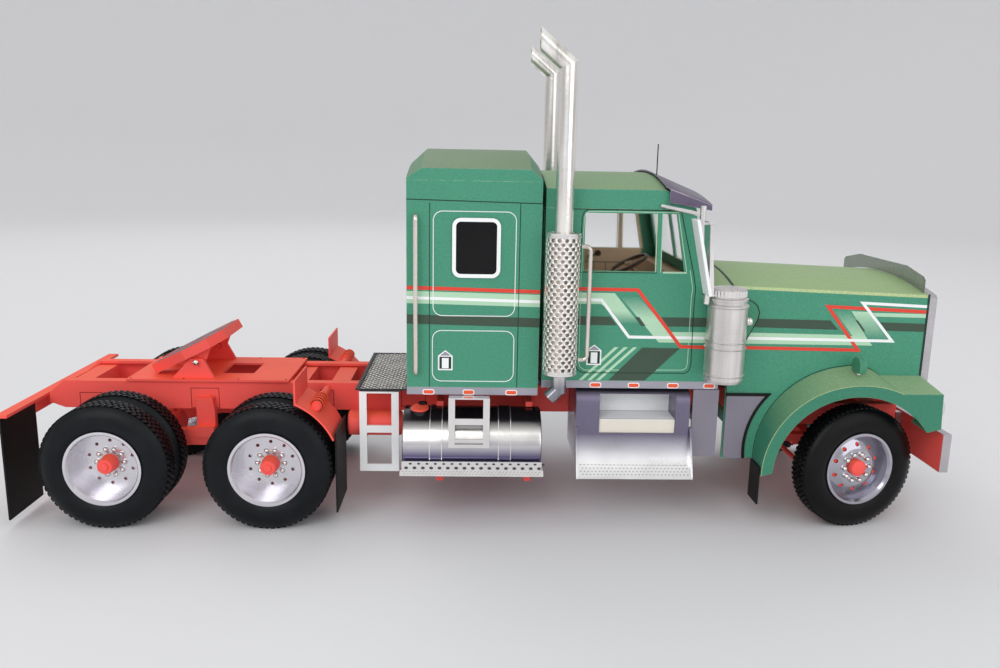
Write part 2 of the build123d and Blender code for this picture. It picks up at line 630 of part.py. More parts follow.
def sleeper_window():
    """A raised frame and a dark pane in the sleeper's side."""
    w = S_WIN
    outer = fillet(block(w[0] - 0.8, w[1] + 0.8, SLEEPER_Y, SLEEPER_Y + 0.4, w[2] - 0.8, w[3] + 0.8)
                   .edges().filter_by(Axis.Y), 2.6)
    hole = fillet(block(w[0] + 0.2, w[1] - 0.2, SLEEPER_Y - 2, SLEEPER_Y + 2, w[2] + 0.2, w[3] - 0.2)
                  .edges().filter_by(Axis.Y), 1.9)
    frame = outer - hole
    pane = fillet(block(w[0] + SEAT * 0.4, w[1] - SEAT * 0.4, SLEEPER_Y - 0.8, SLEEPER_Y, w[2] + SEAT * 0.4,
                        w[3] - SEAT * 0.4).edges().filter_by(Axis.Y), 1.9)
    return frame, pane


def end_wall(x):
    inner = SLEEPER_Y - CARD
    wall = block(x, x + CARD, -inner, inner, SLEEPER_Z, SLEEPER_EAVE)
    return wall


ROOF_RISE = 9.8
ROOF_SHOULDER = 3.3
ROOF_IN = (5.0, 3.8)      # length of the slopes at the rear and front ends


def roof_section(x, y, z, rise, depth):
    """One arched section of the sleeper's roof in the plane of this X."""
    with BuildSketch(Plane((x, 0, 0), x_dir=(0, 1, 0), z_dir=(1, 0, 0))) as s:
        with BuildLine():
            Line((-y, z - depth), (y, z - depth))
            Line((y, z - depth), (y, z))
            ThreePointArc((y, z), (0, z + rise), (-y, z))
            Line((-y, z), (-y, z - depth))
        make_face()
    return s.sketch


def arched(x_rear, x_front, y, base, lift, rise, rear, front):
    """An arched body with sloping ends; base is its flat underside."""
    stations = ((x_rear, 0.02), (x_rear + rear, lift), (x_front - front, lift), (x_front, 0.02))
    sections = []
    for x, up in stations:
        sections.append(roof_section(x, y, base + up + 0.6, rise - (lift - up) * 0.4, up + 0.6))
    return fused(*[loft([a, b], ruled=True) for a, b in zip(sections, sections[1:])])


def sleeper_roof():
    base = SLEEPER_EAVE
    outer = arched(SLEEPER_X[0], SLEEPER_X[1], SLEEPER_Y, base, ROOF_SHOULDER, ROOF_RISE - ROOF_SHOULDER,
                   ROOF_IN[0], ROOF_IN[1])
    inner = Pos(0, 0, -CARD) * arched(SLEEPER_X[0] + CARD, SLEEPER_X[1] - CARD, SLEEPER_Y - CARD, base,
                                      ROOF_SHOULDER, ROOF_RISE - ROOF_SHOULDER, ROOF_IN[0], ROOF_IN[1])
    return outer - inner


save("sleeper_sides", *both(sleeper_side()))
save("sleeper_ends", end_wall(SLEEPER_X[0]), end_wall(SLEEPER_X[1] - CARD) - block(
    SLEEPER_X[1] - 2, SLEEPER_X[1] + 1, -20, 20, 62, 105))
save("sleeper_roof", sleeper_roof())
frame_part, pane_part = sleeper_window()
save("sleeper_windows", *both(frame_part), *both(pane_part))

# Cab: sides with two window openings each, a raked front wall, a roof cap, one floor for cab and sleeper
RAKE = (70.4, 81.8)                     # X of the front edge at the seam and at the base
WINDOW_Z = (90.8, CAB_SEAM - 1.4)
DOOR_WINDOW = ((33.4, WINDOW_Z[0]), (58.2, WINDOW_Z[0]), (57.8, WINDOW_Z[1]), (33.4, WINDOW_Z[1]))
VENT_WINDOW = ((59.8, WINDOW_Z[0]), (67.6, WINDOW_Z[0]), (64.0, WINDOW_Z[1]), (59.2, WINDOW_Z[1]))
FLOOR_T = 1.6


def rake_x(z):
    """X of the cab's raked front edge at this height."""
    return RAKE[1] + (RAKE[0] - RAKE[1]) * (z - CAB_Z) / (CAB_SEAM - CAB_Z)


def cab_side():
    y0, y1 = CAB_Y - CARD, CAB_Y
    outline = [(CAB_X[0], CAB_Z), (CAB_X[1], CAB_Z), (RAKE[0], CAB_SEAM), (CAB_X[0], CAB_SEAM)]
    wall = side_profile(outline, y0, y1)
    for window in (DOOR_WINDOW, VENT_WINDOW):
        wall -= side_profile(window, y0 - 1, y1 + 1)
    return wall


def hood_section(x, shoulder, crown, half, bottom):
    """The crowned outline of hood and cowl at this X."""
    edge = HOOD_EDGE
    with BuildSketch(Plane((x, 0, 0), x_dir=(0, 1, 0), z_dir=(1, 0, 0))) as s:
        with BuildLine():
            Polyline((-half + edge, shoulder), (-half, shoulder - edge), (-half, bottom), (half, bottom),
                     (half, shoulder - edge), (half - edge, shoulder))
            ThreePointArc((half - edge, shoulder), (0, crown), (-half + edge, shoulder))
        make_face()
    return s.sketch


def hood_body(x0, x1, inset=0.0, bottom=HOOD_BOTTOM):
    span = HOOD_X[1] - HOOD_X[0]
    faces = []
    for x in (x0, x1):
        t = (x - HOOD_X[0]) / span
        shoulder, crown = [a + (b - a) * t - inset for a, b in zip(HOOD_REAR, HOOD_NOSE)]
        faces.append(hood_section(x, shoulder, crown, HOOD_HALF - inset, bottom))
    return loft(faces, ruled=True)


WINDSHIELD_Z = (91.5, CAB_SEAM - 2.1)
WINDSHIELD_Y = (1.0, 35.0)


def cab_front():
    """The raked front wall with two windscreen openings, and the cowl that leads to the hood."""
    top = CAB_SEAM
    half = CAB_Y - CARD
    wall = side_profile([(rake_x(CAB_Z) - CARD, CAB_Z), (rake_x(CAB_Z), CAB_Z), (rake_x(top), top),
                         (rake_x(top) - CARD, top)], -half, half)
    for side in (-1, 1):
        z0, z1 = WINDSHIELD_Z
        y0, y1 = sorted((side * WINDSHIELD_Y[0], side * WINDSHIELD_Y[1]))
        cut = side_profile([(rake_x(z0) - 4, z0), (rake_x(z0) + 4, z0), (rake_x(z1) + 4, z1),
                            (rake_x(z1) - 4, z1)], y0, y1)
        wall -= cut
    cowl = hood_body(rake_x(90.0) - 2, HOOD_X[0] - SEAT, bottom=80.0) - hood_body(
        60, HOOD_X[0] - SEAT - CARD, inset=CARD, bottom=78.0)
    behind = side_profile([(50, 70), (rake_x(70), 70), (rake_x(95), 95), (50, 95)], -60, 60)
    return fused(wall, cowl - behind)


def cap_section(x, side, crown, bottom, half=CAB_Y):
    with BuildSketch(Plane((x, 0, 0), x_dir=(0, 1, 0), z_dir=(1, 0, 0))) as s:
        with BuildLine():
            Polyline((-half, side), (-half, bottom), (half, bottom), (half, side))
            ThreePointArc((half, side), (0, crown), (-half, side))
        make_face()
    return s.sketch


CAP_FRONT = 60.0


def roof_cap(inset):
    """The cab's roof cap: level to CAP_FRONT, then sloping down to the top of the windscreen."""
    x0, half = CAB_X[0] + inset, CAB_Y - inset
    low = CAB_SEAM - (2 if inset else 0)
    a = cap_section(x0, CAB_EAVE - inset, CAP_CROWN - inset, low, half)
    b = cap_section(CAP_FRONT, CAB_EAVE - inset, CAP_CROWN - inset, low, half)
    c = cap_section(RAKE[0] - inset, CAB_SEAM + 0.6, CAB_SEAM + 2.2 - inset * 0.5, low, half)
    return fused(loft([a, b], ruled=True), loft([b, c], ruled=True))


save("cab_sides", *both(cab_side()))
save("cab_front", cab_front())
save("cab_roof", roof_cap(0) - roof_cap(CARD))
SILL_Z = RAIL_TOP + SEAT
floor_cab = block(CAB_X[0], CAB_X[1] - 2, -CAB_Y + STRIP_T, CAB_Y - STRIP_T, CAB_Z - FLOOR_T - 1, CAB_Z - 1)
floor_sleeper = block(SLEEPER_X[0] + CARD, SLEEPER_X[1], -SLEEPER_Y + STRIP_T, SLEEPER_Y - STRIP_T,
                      SLEEPER_Z - FLOOR_T - 1, SLEEPER_Z - 1)
sills = []
for x0, x1, top in ((SLEEPER_X[0] + CARD, SLEEPER_X[1], SLEEPER_Z - FLOOR_T - 1),
                    (CAB_X[0], CAB_X[1] - 2, CAB_Z - FLOOR_T - 1)):
    sills.append([block(x0, x1, *sorted((s * (RAIL_Y - 5), s * RAIL_Y)), SILL_Z, top) for s in (-1, 1)])
save("cab_floor", fused(floor_cab, *sills[1]), fused(floor_sleeper, *sills[0]))


def base_strip(x0, x1, y, top):
    return block(x0, x1, y - STRIP_T, y, top - STRIP_H, top)


save("base_strips", *both(base_strip(SLEEPER_X[0], SLEEPER_X[1], SLEEPER_Y, SLEEPER_Z)),
     *both(base_strip(CAB_X[0], CAB_X[1], CAB_Y, CAB_Z)))


# Clear film in the cab's openings, let in at the middle of each wall
def side_panes():
    y = CAB_Y - CARD / 2
    return [side_profile(shrunk(w, 0.1), y - FILM / 2, y + FILM / 2) for w in (DOOR_WINDOW, VENT_WINDOW)]


def shrunk(points, gap):
    cx = sum(p[0] for p in points) / len(points)
    cz = sum(p[1] for p in points) / len(points)
    return [(x + (gap if x < cx else -gap), z + (gap if z < cz else -gap)) for x, z in points]


def screen_pane(side):
    z0, z1 = WINDSHIELD_Z[0] + 0.1, WINDSHIELD_Z[1] - 0.1
    mid = CARD / 2
    outline = [(rake_x(z0) - mid - FILM, z0), (rake_x(z0) - mid, z0), (rake_x(z1) - mid, z1),
               (rake_x(z1) - mid - FILM, z1)]
    y0, y1 = sorted((side * (WINDSHIELD_Y[0] + 0.1), side * (WINDSHIELD_Y[1] - 0.1)))
    return side_profile(outline, y0, y1)


panes = []
for pane in side_panes():
    panes += both(pane)
save("cab_glass", *panes, screen_pane(-1), screen_pane(1))


# Inside: two seats and the dashboard with the steering wheel on its column
def seat(y):
    z = CAB_Z - 1 + SEAT
    base = block(34, 48, y - 7, y + 7, z, z + 14)
    cushion = block(33, 51, y - 9, y + 9, z + 14, z + 18.5)
    back = side_profile([(33, z + 16), (37, z + 16), (32.5, z + 44), (29.0, z + 44)], y - 8.5, y + 8.5)
    return fused(base, cushion, back)


WHEEL_AT = (59.0, 17.5, 86.5)


def dashboard():
    half = CAB_Y - CARD - SEAT
    z0, z1 = 72.0, 87.5
    front0, front1 = rake_x(z0) - CARD - SEAT, rake_x(z1) - CARD - SEAT
    body = side_profile([(66.5, z0), (front0, z0), (front1, z1), (67.5, z1), (64.5, z1 - 6)], -half, half)
    tilt = Pos(*WHEEL_AT) * Rot(0, -27, 0)
    rim = tilt * Torus(8.0, 0.6)
    spokes = [tilt * Rot(0, 0, a) * Pos(4, 0, -0.2) * Box(8, 0.9, 0.5) for a in (90, 210, 330)]
    boss = tilt * Cylinder(1.6, 1.6)
    x, y, z = WHEEL_AT
    column = rod((x, y, z), (x + 9.0, y, z - 9.0), 0.9)
    return fused(body, rim, *spokes, boss, column)


save("cab_seats", seat(17.5), seat(-17.5))
save("dashboard", dashboard())


# Sun visor: a crowned sheet from the roof cap to a tip over the windscreen, with folded flanks
VISOR_X = (CAP_FRONT - 0.4, 75.2)
VISOR_Z = ((CAB_EAVE + 0.45, CAP_CROWN + 0.45), (CAB_SEAM + 1.4, CAB_SEAM + 5.6))


def visor():
    def sheet(lift, half):
        faces = []
        for x, (side, crown) in zip(VISOR_X, VISOR_Z):
            with BuildSketch(Plane((x, 0, 0), x_dir=(0, 1, 0), z_dir=(1, 0, 0))) as s:
                with BuildLine():
                    ThreePointArc((-half, side + lift), (0, crown + lift), (half, side + lift))
                    Line((half, side + lift), (half, side + lift - 6))
                    ThreePointArc((half, side + lift - 6), (0, crown + lift - 6), (-half, side + lift - 6))
                    Line((-half, side + lift - 6), (-half, side + lift))
                make_face()
            faces.append(s.sketch)
        return loft(faces, ruled=True)
    half = CAB_Y + 1.6
    top = sheet(THIN, half) - sheet(0, half + 2)
    back = VISOR_X[0] + 1.4
    flank = side_profile([(back, CAB_EAVE + 0.3), (back, CAB_SEAM + 2.4), (VISOR_X[1], CAB_SEAM),
                          (VISOR_X[1], CAB_SEAM + 1.7)], half - THIN, half)
    return fused(top, flank, mirrored(flank))


save("sun_visor", visor())


# Mirrors: two tall plates that lean with the windscreen pillar
MIRROR_Y = (45.6, 53.0)


def mirror_unit():
    """Two thin plates that meet at the foot, between an upper arm and a lower bracket."""
    top = CAB_SEAM - 2.6
    back = side_profile([(67.6, top), (68.4, top + 0.2), (73.8, 84.9), (73.0, 84.7)], *MIRROR_Y)
    face = side_profile([(71.8, top - 0.4), (72.6, top - 0.4), (74.6, 84.6), (73.0, 84.6)], *MIRROR_Y)
    mid = (MIRROR_Y[0] + MIRROR_Y[1]) / 2
    cross = block(67.9, 72.4, mid - 1.2, mid + 1.2, top - 1.4, top - 0.6)
    upper = rod((58.6, CAB_Y + 0.6, CAB_SEAM + 1.3), (70.2, mid, CAB_SEAM - 1.0), 0.7)
    post = rod((70.2, mid, CAB_SEAM + 2.0), (70.2, mid, top - 1.0), 1.0)
    low_post = rod((73.4, mid, 85.2), (73.2, mid, 81.6), 1.0)
    lower = rod((73.0, mid, 82.8), (74.0, CAB_Y + 0.4, 82.8), 0.6)
    return fused(back, face, cross, upper, post, low_post, lower)


save("mirrors", *both(mirror_unit()))

# Exhaust: a perforated guard round a muffler, a stack with a mitred elbow, and the lower pipe
GUARD_X, GUARD_Y = 25.6, 46.4
GUARD_R = 5.7
GUARD_Z = (56.6, 104.0)
STACK_R = 3.0
STACK_WALL = 0.5
STACK_TURN = 50.0                          # the elbow leans this far from upright, to the rear
STACK_REACH = 14.5                         # length of the arm behind the elbow, along its middle
STACK_SET = (("left", 3.0, 163.4), ("right", 0.0, 157.9))    # place along X and height of the elbow's corner


def hoop(r0, r1, z0, z1):
    """A flat or upright ring about the guard's middle."""
    return lathe_z([(r0, z0), (r1, z0), (r1, z1), (r0, z1)], GUARD_X, GUARD_Y)


def guard():
    z0, z1 = GUARD_Z
    shell = hoop(GUARD_R - 0.5, GUARD_R, z0, z1)
    rings = [hoop(GUARD_R - 0.5, GUARD_R + 0.3, z, z + 1.2) for z in (z0, z1 - 1.2)]
    caps = [hoop(STACK_R, GUARD_R - 0.4, z, z + 0.8) for z in (z0, z1 - 0.8)]
    tabs = [block(GUARD_X - 2, GUARD_X + 2, CAB_Y + SEAT, GUARD_Y - GUARD_R + 0.4, z, z + 2)
            for z in (z0 + 4, z1 - 8)]
    return fused(shell, *rings, *caps, *tabs)


def stack(corner):
    """The rolled pipe, turned to the rear by a mitred elbow whose mouth is cut upright."""
    foot = GUARD_Z[0] - 6.5
    lower = rod((GUARD_X, GUARD_Y, foot), (GUARD_X, GUARD_Y, GUARD_Z[0] + 3), 2.5)
    tip = rod((GUARD_X, GUARD_Y, foot + 1.2), (GUARD_X - 3.2, GUARD_Y, foot - 2.0), 2.4)
    muffler = rod((GUARD_X, GUARD_Y, GUARD_Z[0] + 2), (GUARD_X, GUARD_Y, GUARD_Z[1] - 2), 3.6)
    turn = radians(STACK_TURN)
    knee = corner - STACK_R * tan(turn / 2)

    def bent(low, reach, r):
        path = Polyline((GUARD_X, GUARD_Y, low), (GUARD_X, GUARD_Y, knee),
                        (GUARD_X - reach * sin(turn), GUARD_Y, knee + reach * cos(turn)))
        start = Plane(origin=path @ 0, z_dir=(0, 0, 1))
        return sweep(start * Circle(r), path=path, transition=Transition.RIGHT)
    pipe = bent(GUARD_Z[1] - 3, STACK_REACH, STACK_R)
    bore = bent(knee - 8, STACK_REACH * 2, STACK_R - STACK_WALL)
    mouth_x = GUARD_X - STACK_REACH * sin(turn) + STACK_R * cos(turn)
    keep = block(mouth_x, GUARD_X + 2 * STACK_R, GUARD_Y - 2 * STACK_R, GUARD_Y + 2 * STACK_R, 0, corner + 30)
    return fused(lower, tip, muffler, (pipe & keep)) - bore


def place_side(shape, word):
    return shape if word == "left" else mirrored(shape)


save("muffler_guards", *[place_side(Pos(x, 0, 0) * guard(), word) for word, x, _ in STACK_SET])
save("exhaust_stacks", *[place_side(Pos(x, 0, 0) * stack(corner), word) for word, x, corner in STACK_SET])


# Grab handles: one on the sleeper's rear edge, one beside each muffler guard
def sleeper_handle():
    x, y0, y1 = SLEEPER_X[0] + 3.2, SLEEPER_Y + SEAT, SLEEPER_Y + 2.6
    return bent_rod([(x, y0, 55.5), (x, y1, 55.5), (x, y1, 108.5), (x, y0, 108.5)], 0.8, 1.4)


def guard_handle():
    x0, x1, y = GUARD_X + GUARD_R + 0.35, GUARD_X + GUARD_R + 3.4, GUARD_Y
    return bent_rod([(x0, y, 61.5), (x1, y, 61.5), (x1, y, 99.5), (x0, y, 99.5)], 0.75, 1.6)


save("grab_handles", *both(sleeper_handle()),
     *[place_side(Pos(x, 0, 0) * guard_handle(), word) for word, x, _ in STACK_SET])

# Air cleaners: ribbed canisters with a cap, on a teardrop plate at the hood's side
CLEANER_X, CLEANER_Y = 81.0, 47.4
CLEANER_R = 6.6


def cleaner():
    r = CLEANER_R
    body = lathe_z([(0, 55.0), (r - 0.4, 55.0), (r, 56.0), (r, 57.2), (r + 0.35, 57.6), (r, 58.0), (r, 66.4),
                    (r + 0.35, 66.8), (r, 67.2), (r, 68.6), (r + 0.3, 69.0), (r, 69.4), (r, 80.4),
                    (r + 0.35, 80.8), (r + 0.35, 81.2), (r - 0.4, 81.8), (r - 0.4, 82.6), (r, 82.8), (r, 83.4),
                    (r - 0.8, 83.8), (r - 0.8, 86.4), (r - 1.2, 86.8), (0, 86.8)], CLEANER_X, CLEANER_Y)
    near = HOOD_HALF + SEAT
    plate = side_profile([(CLEANER_X + 3.0, 81.5), (CLEANER_X + 11.6, 80.8), (CLEANER_X + 14.4, 76.6),
                          (CLEANER_X + 10.4, 67.0), (CLEANER_X + 3.0, 66.3)], near, near + CARD)
    bracket = rod((CLEANER_X + 7.2, HOOD_HALF + 0.6, 75.0), (CLEANER_X + 4.2, CLEANER_Y, 75.0), 1.1)
    return fused(body, plate, bracket)


save("air_cleaners", *both(cleaner()))

# Hood with its skirts, their foil covers, the cowl panels, radiator and bug deflector
def wheel_well(y0, y1):
    return rod((ARCH[0], y0, ARCH[1]), (ARCH[0], y1, ARCH[1]), ARCH[2])


def hood_skirt():
    """The hood's side drawn down behind the wheel, with a stay to the rail."""
    wall = block(HOOD_X[0], ARCH[0], HOOD_HALF - CARD, HOOD_HALF, SKIRT_BOTTOM, HOOD_BOTTOM + 1)
    stay = block(HOOD_X[0], HOOD_X[0] + 2, RAIL_Y + SEAT, HOOD_HALF - CARD, 36.5, 40.0)
    return fused(wall, stay)


hood = hood_body(*HOOD_X) - hood_body(HOOD_X[0] - 1, HOOD_X[1] + 1, inset=CARD, bottom=HOOD_BOTTOM - 2)
save("hood", fused(hood, hood_skirt(), mirrored(hood_skirt())) - wheel_well(-50, 50))


def skirt_cover():
    """The foil cover on the hood's skirt, its front edge swept back along the wheel's opening."""
    y = HOOD_HALF + SEAT
    with BuildSketch() as s:
        with BuildLine():
            Polyline((101.2, 47.0), (HOOD_X[0] + 0.4, 47.0), (HOOD_X[0] + 0.4, SKIRT_BOTTOM + 2.2))
            ThreePointArc((HOOD_X[0] + 0.4, SKIRT_BOTTOM + 2.2), (HOOD_X[0] + 1.0, SKIRT_BOTTOM + 0.6),
                          (HOOD_X[0] + 2.6, SKIRT_BOTTOM))
            Line((HOOD_X[0] + 2.6, SKIRT_BOTTOM), (93.8, SKIRT_BOTTOM))
            ThreePointArc((93.8, SKIRT_BOTTOM), (95.4, 37.4), (101.2, 47.0))
        make_face()
    return Plane((0, y, 0), x_dir=(1, 0, 0), z_dir=(0, -1, 0)) * extrude(s.sketch, -0.4)


def cowl_panel():
    panel = block(73.4, 82.4, CAB_Y - CARD, CAB_Y, 25.4, CAB_Z - STRIP_H - SEAT)
    stay = block(75.0, 77.0, RAIL_Y + SEAT, CAB_Y - CARD, 36.5, 40.0)
    return fused(panel, stay)


save("side_panels", *both(skirt_cover()), *both(cowl_panel()))
RAD_X = (HOOD_X[1] + SEAT, HOOD_X[1] + 2.8)


def radiator():
    """A foil surround in the hood's outline, with an upright grille of thin bars."""
    shoulder, crown = HOOD_NOSE
    outer = extrude(hood_section(RAD_X[0], shoulder, crown, HOOD_HALF - 0.4, 40.0), RAD_X[1] - RAD_X[0])
    hole = extrude(hood_section(RAD_X[0], shoulder - 3, crown - 3, HOOD_HALF - 4.0, 43.5), 9)
    ring = outer - hole
    back = extrude(hood_section(RAD_X[0], shoulder - 2.6, crown - 2.6, HOOD_HALF - 3.6, 43.1), 0.6)
    count = 21
    pitch = 2 * (HOOD_HALF - 4.0) / count
    bars = [block(RAD_X[0] + 0.4, RAD_X[1] - 0.8, -0.35 + pitch * k, 0.35 + pitch * k, 43.0,
                  shoulder - 2.2 + (crown - shoulder) * 0.9 * (1 - (pitch * k / HOOD_HALF) ** 2))
            for k in range(-(count // 2), count // 2 + 1)]
    return fused(ring, back, *bars)


save("radiator", radiator())


def deflector():
    x = HOOD_X[1] - 1.6
    top = [(-(HOOD_HALF - 2.5), 80), (-(HOOD_HALF - 2.5), 88.2), (-(HOOD_HALF - 4.0), 89.4), (-19.0, 91.8)]
    sheet = cross_profile(top + [(-y, z) for y, z in reversed(top)], x, x + THIN)
    t = (x - HOOD_X[0]) / (HOOD_X[1] - HOOD_X[0])
    shoulder, crown = [a + (b - a) * t + SEAT for a, b in zip(HOOD_REAR, HOOD_NOSE)]
    return sheet - extrude(hood_section(x - 1, shoulder, crown, HOOD_HALF + SEAT, 70), 4)


save("bug_deflector", deflector())

# Front fenders: a flat outer band round the wheel, a top sheet down from the hood, a headlamp box in front
def fender_section(y, points, inset):
    """Outline at this Y: two arcs over the wheel, the box's top and its front."""
    a, ab, b, bc, c, d, e = points
    with BuildSketch(Plane((0, y, 0), x_dir=(1, 0, 0), z_dir=(0, -1, 0))) as s:
        with BuildLine():
            ThreePointArc((a[0] + inset, a[1]), (ab[0] + inset * 0.8, ab[1] - inset * 0.6),
                          (b[0], b[1] - inset))
            ThreePointArc((b[0], b[1] - inset), (bc[0], bc[1] - inset), (c[0], c[1] - inset))
            Polyline((c[0], c[1] - inset), (d[0] - inset, d[1] - inset), (e[0] - inset, e[1]),
                     (a[0] + inset, a[1]))
        make_face()
    return s.sketch


OUTER_EDGE = ((97.5, 20.3), (105.2, 41.8), (124.2, 52.6), (135.0, 53.0),
              (144.7, 50.4), (158.7, 50.4), (159.3, 38.0))
INNER_EDGE = ((98.1, 20.3), (106.4, 47.0), (127.0, 57.4), (134.5, 57.4),
              (140.5, 54.5), (155.2, 54.5), (155.6, 38.0))


def front_fender():
    y0, y1 = FENDER_Y
    shell = loft([fender_section(y0, INNER_EDGE, 0), fender_section(y1, OUTER_EDGE, 0)], ruled=True)
    slope = [((b[0] - a[0]) / (y1 - y0), (b[1] - a[1]) / (y1 - y0)) for a, b in zip(INNER_EDGE, OUTER_EDGE)]

    def at(edge, dy):
        return [(p[0] + s[0] * dy, p[1] + s[1] * dy) for p, s in zip(edge, slope)]
    hollow = loft([fender_section(y0 - 1, at(INNER_EDGE, -1), CARD),
                   fender_section(y1 - CARD, at(OUTER_EDGE, -CARD), CARD)], ruled=True)
    return shell - hollow - wheel_well(y0 - 5, y1 + 5)


LAMP_Z = 44.4
LAMP_R = 3.9
SIGNAL_X, SIGNAL_Y, SIGNAL_Z, SIGNAL_R = ARCH[0], HOOD_HALF + 5.5, 58.9, 3.3


def lamps():
    """A headlamp square to the box's swept front, and a round signal lamp on top of the fender."""
    inner, outer = INNER_EDGE[5], OUTER_EDGE[5]
    way = Vector(FENDER_Y[1] - FENDER_Y[0], inner[0] - outer[0], 0).normalized()
    mid = Vector((inner[0] + outer[0]) / 2 + 0.5, (FENDER_Y[0] + FENDER_Y[1]) / 2, LAMP_Z)
    head = rod(tuple(mid + way * 0.7), tuple(mid + way * 2.6), LAMP_R)
    head -= rod(tuple(mid + way * 1.9), tuple(mid + way * 3.0), LAMP_R - 0.7)
    disc = rod((SIGNAL_X - 1.0, SIGNAL_Y, SIGNAL_Z), (SIGNAL_X + 1.0, SIGNAL_Y, SIGNAL_Z), SIGNAL_R)
    disc -= block(SIGNAL_X - 2, SIGNAL_X + 2, SIGNAL_Y - 4, SIGNAL_Y + 4, SIGNAL_Z - 5, 56.8)
    stem = rod((SIGNAL_X, SIGNAL_Y, 56.0), (SIGNAL_X, SIGNAL_Y, SIGNAL_Z - 1), 0.7)
    return [head, fused(disc, stem)]


save("front_fenders", *both(front_fender()))
front_lamps = []
for lamp in lamps():
    front_lamps += both(lamp)
save("front_lamps", *front_lamps)


# Bumper: a closed box on two horns
def bumper():
    bar = block(*BUMPER_X, -FENDER_Y[1], FENDER_Y[1], *BUMPER_Z)
    horns = [block(RAIL_FRONT + SEAT, BUMPER_X[1] - 0.5, *sorted((s * (RAIL_Y - 3), s * RAIL_Y)), 27.0, 35.5)
             for s in (-1, 1)]
    return fused(bar, *horns)


save("bumper", bumper())
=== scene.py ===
from math import atan2, cos, pi, radians, sin

import bmesh
import bpy
from bpy.props import FloatProperty, FloatVectorProperty, IntProperty, PointerProperty
from mathutils import Matrix, Vector


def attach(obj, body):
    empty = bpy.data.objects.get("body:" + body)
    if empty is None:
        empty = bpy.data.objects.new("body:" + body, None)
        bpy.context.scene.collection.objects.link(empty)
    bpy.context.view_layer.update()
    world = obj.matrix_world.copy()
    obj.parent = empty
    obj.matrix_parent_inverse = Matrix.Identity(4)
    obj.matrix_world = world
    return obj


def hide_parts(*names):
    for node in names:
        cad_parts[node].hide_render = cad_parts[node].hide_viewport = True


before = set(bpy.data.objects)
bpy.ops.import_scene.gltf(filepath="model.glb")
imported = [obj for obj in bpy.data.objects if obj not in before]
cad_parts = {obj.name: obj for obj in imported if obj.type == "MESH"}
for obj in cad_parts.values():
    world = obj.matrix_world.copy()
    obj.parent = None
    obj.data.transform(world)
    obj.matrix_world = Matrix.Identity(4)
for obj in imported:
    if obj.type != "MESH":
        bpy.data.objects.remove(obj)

bl_info = {
    "name": "Card model of a sleeper tractor",
    "version": (1, 0, 0),
    "blender": (4, 5, 0),
    "location": "3D View > Sidebar > Tractor",
    "description": "Gives the packed card tractor its prints, foils, tyres and small fittings",
    "category": "Add Mesh",
}

MM = 0.001
ROOT = "chassis"
SIDES = (("right", -1), ("left", 1))

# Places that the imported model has, in millimetres. X points forward, Y to the left and Z up.
SLEEPER_Y, SLEEPER_X, SLEEPER_Z = 42.0, (-25.95, 18.75), 50.4
CAB_Y, CAB_X, CAB_Z, CAB_SEAM, CAB_RAKE = 40.0, 20.25, 52.6, 111.6, (70.4, 81.8)
HOOD_Y, HOOD_X, HOOD_FOLD, HOOD_REAR, HOOD_NOSE = 35.5, (86.0, 155.6), 34.6, (85.6, 89.8), (83.2, 87.2)
FENDER_Y, RAIL_Y, SEAT = 46.0, 17.3, 0.25
FRONT_X, AXLE_Z, KINGPIN_Y, STEER_REST = 130.9, 22.0, 29.5, 12.0
REAR_AXLES = (("drive", -73.3), ("tail", -128.4))
TYRE_R, TYRE_W, TWIN_PITCH, REAR_FACE, FRONT_FACE = 22.0, 10.8, 12.8, 48.6, 43.7
DISC_Y, HUB_Y = REAR_FACE - 8.4, FRONT_FACE - 2.9
GUARD_X = {"right": 25.6, "left": 28.6}
GUARD_Y, GUARD_R, GUARD_Z, GUARD_BAND = 46.4, 5.7, (56.6, 104.0), 1.6
DECK_X, DECK_Y, DECK_Z, DECK_EDGE = (-45.4, -26.25), 29.0, (44.95, 45.75), 0.5
PIN_X, PIN_Z, WHEEL_TILT = -105.4, 51.7, 27.0
TANK_X, TANK_Y, TANK_Z, TANK_R = (-28.2, 21.2), 33.0, 28.4, 12.3
CLEANER_X, CLEANER_Y, CLEANER_R = 81.0, 47.4, 6.6
STEP_X, STEP_Y, STEP_Z = (40.7, 67.1), (31.0, 36.3, 41.4), (34.4, 39.2, 48.0)
BUMPER_X, BUMPER_Z = 160.4, (22.4, 35.8)
ARCH_X, ARM_X, ARM_Z = 130.5, -57.2, 42.6
OUTER_ARC = ((97.5, 20.3), (105.2, 41.8), (124.2, 52.6), (135.0, 53.0), (144.7, 50.4))
INNER_ARC = ((98.1, 20.3), (106.4, 47.0), (127.0, 57.4), (134.5, 57.4), (140.5, 54.5))
APRON_ARC = ((42.0, 33.5), (44.1, 25.5), (48.2, 20.6))
COVER_EDGE = ((101.2, 47.0), (95.4, 37.4), (93.8, 23.4))

# Sizes of the meshes, in millimetres
SUNK = -0.02  # how far a print reaches into its card
SIDEWALL = ((12.65, 3.5), (12.85, 4.1), (13.4, 4.6), (14.4, 5.05), (15.6, 5.32), (16.8, 5.38), (18.0, 5.26),
            (19.1, 4.98), (20.1, 4.52), (20.9, 3.95), (21.45, 3.4))
TREAD_HALF, TREAD_GAP, BLOCK_PART = 3.35, 0.2, 0.66
NUTS, NUT_SIDES = 10, 14
FLOOR_R, FLOOR_BEND, FLOOR_TOP = 1500.0, 700.0, 1500.0
SMOOTH = radians(32)


def linear(red, green, blue):
    """A screen colour, 0 to 255, as the linear colour that a shader takes."""
    parts = (value / 255 for value in (red, green, blue))
    return tuple(part / 12.92 if part <= 0.04045 else ((part + 0.055) / 1.055) ** 2.4 for part in parts)


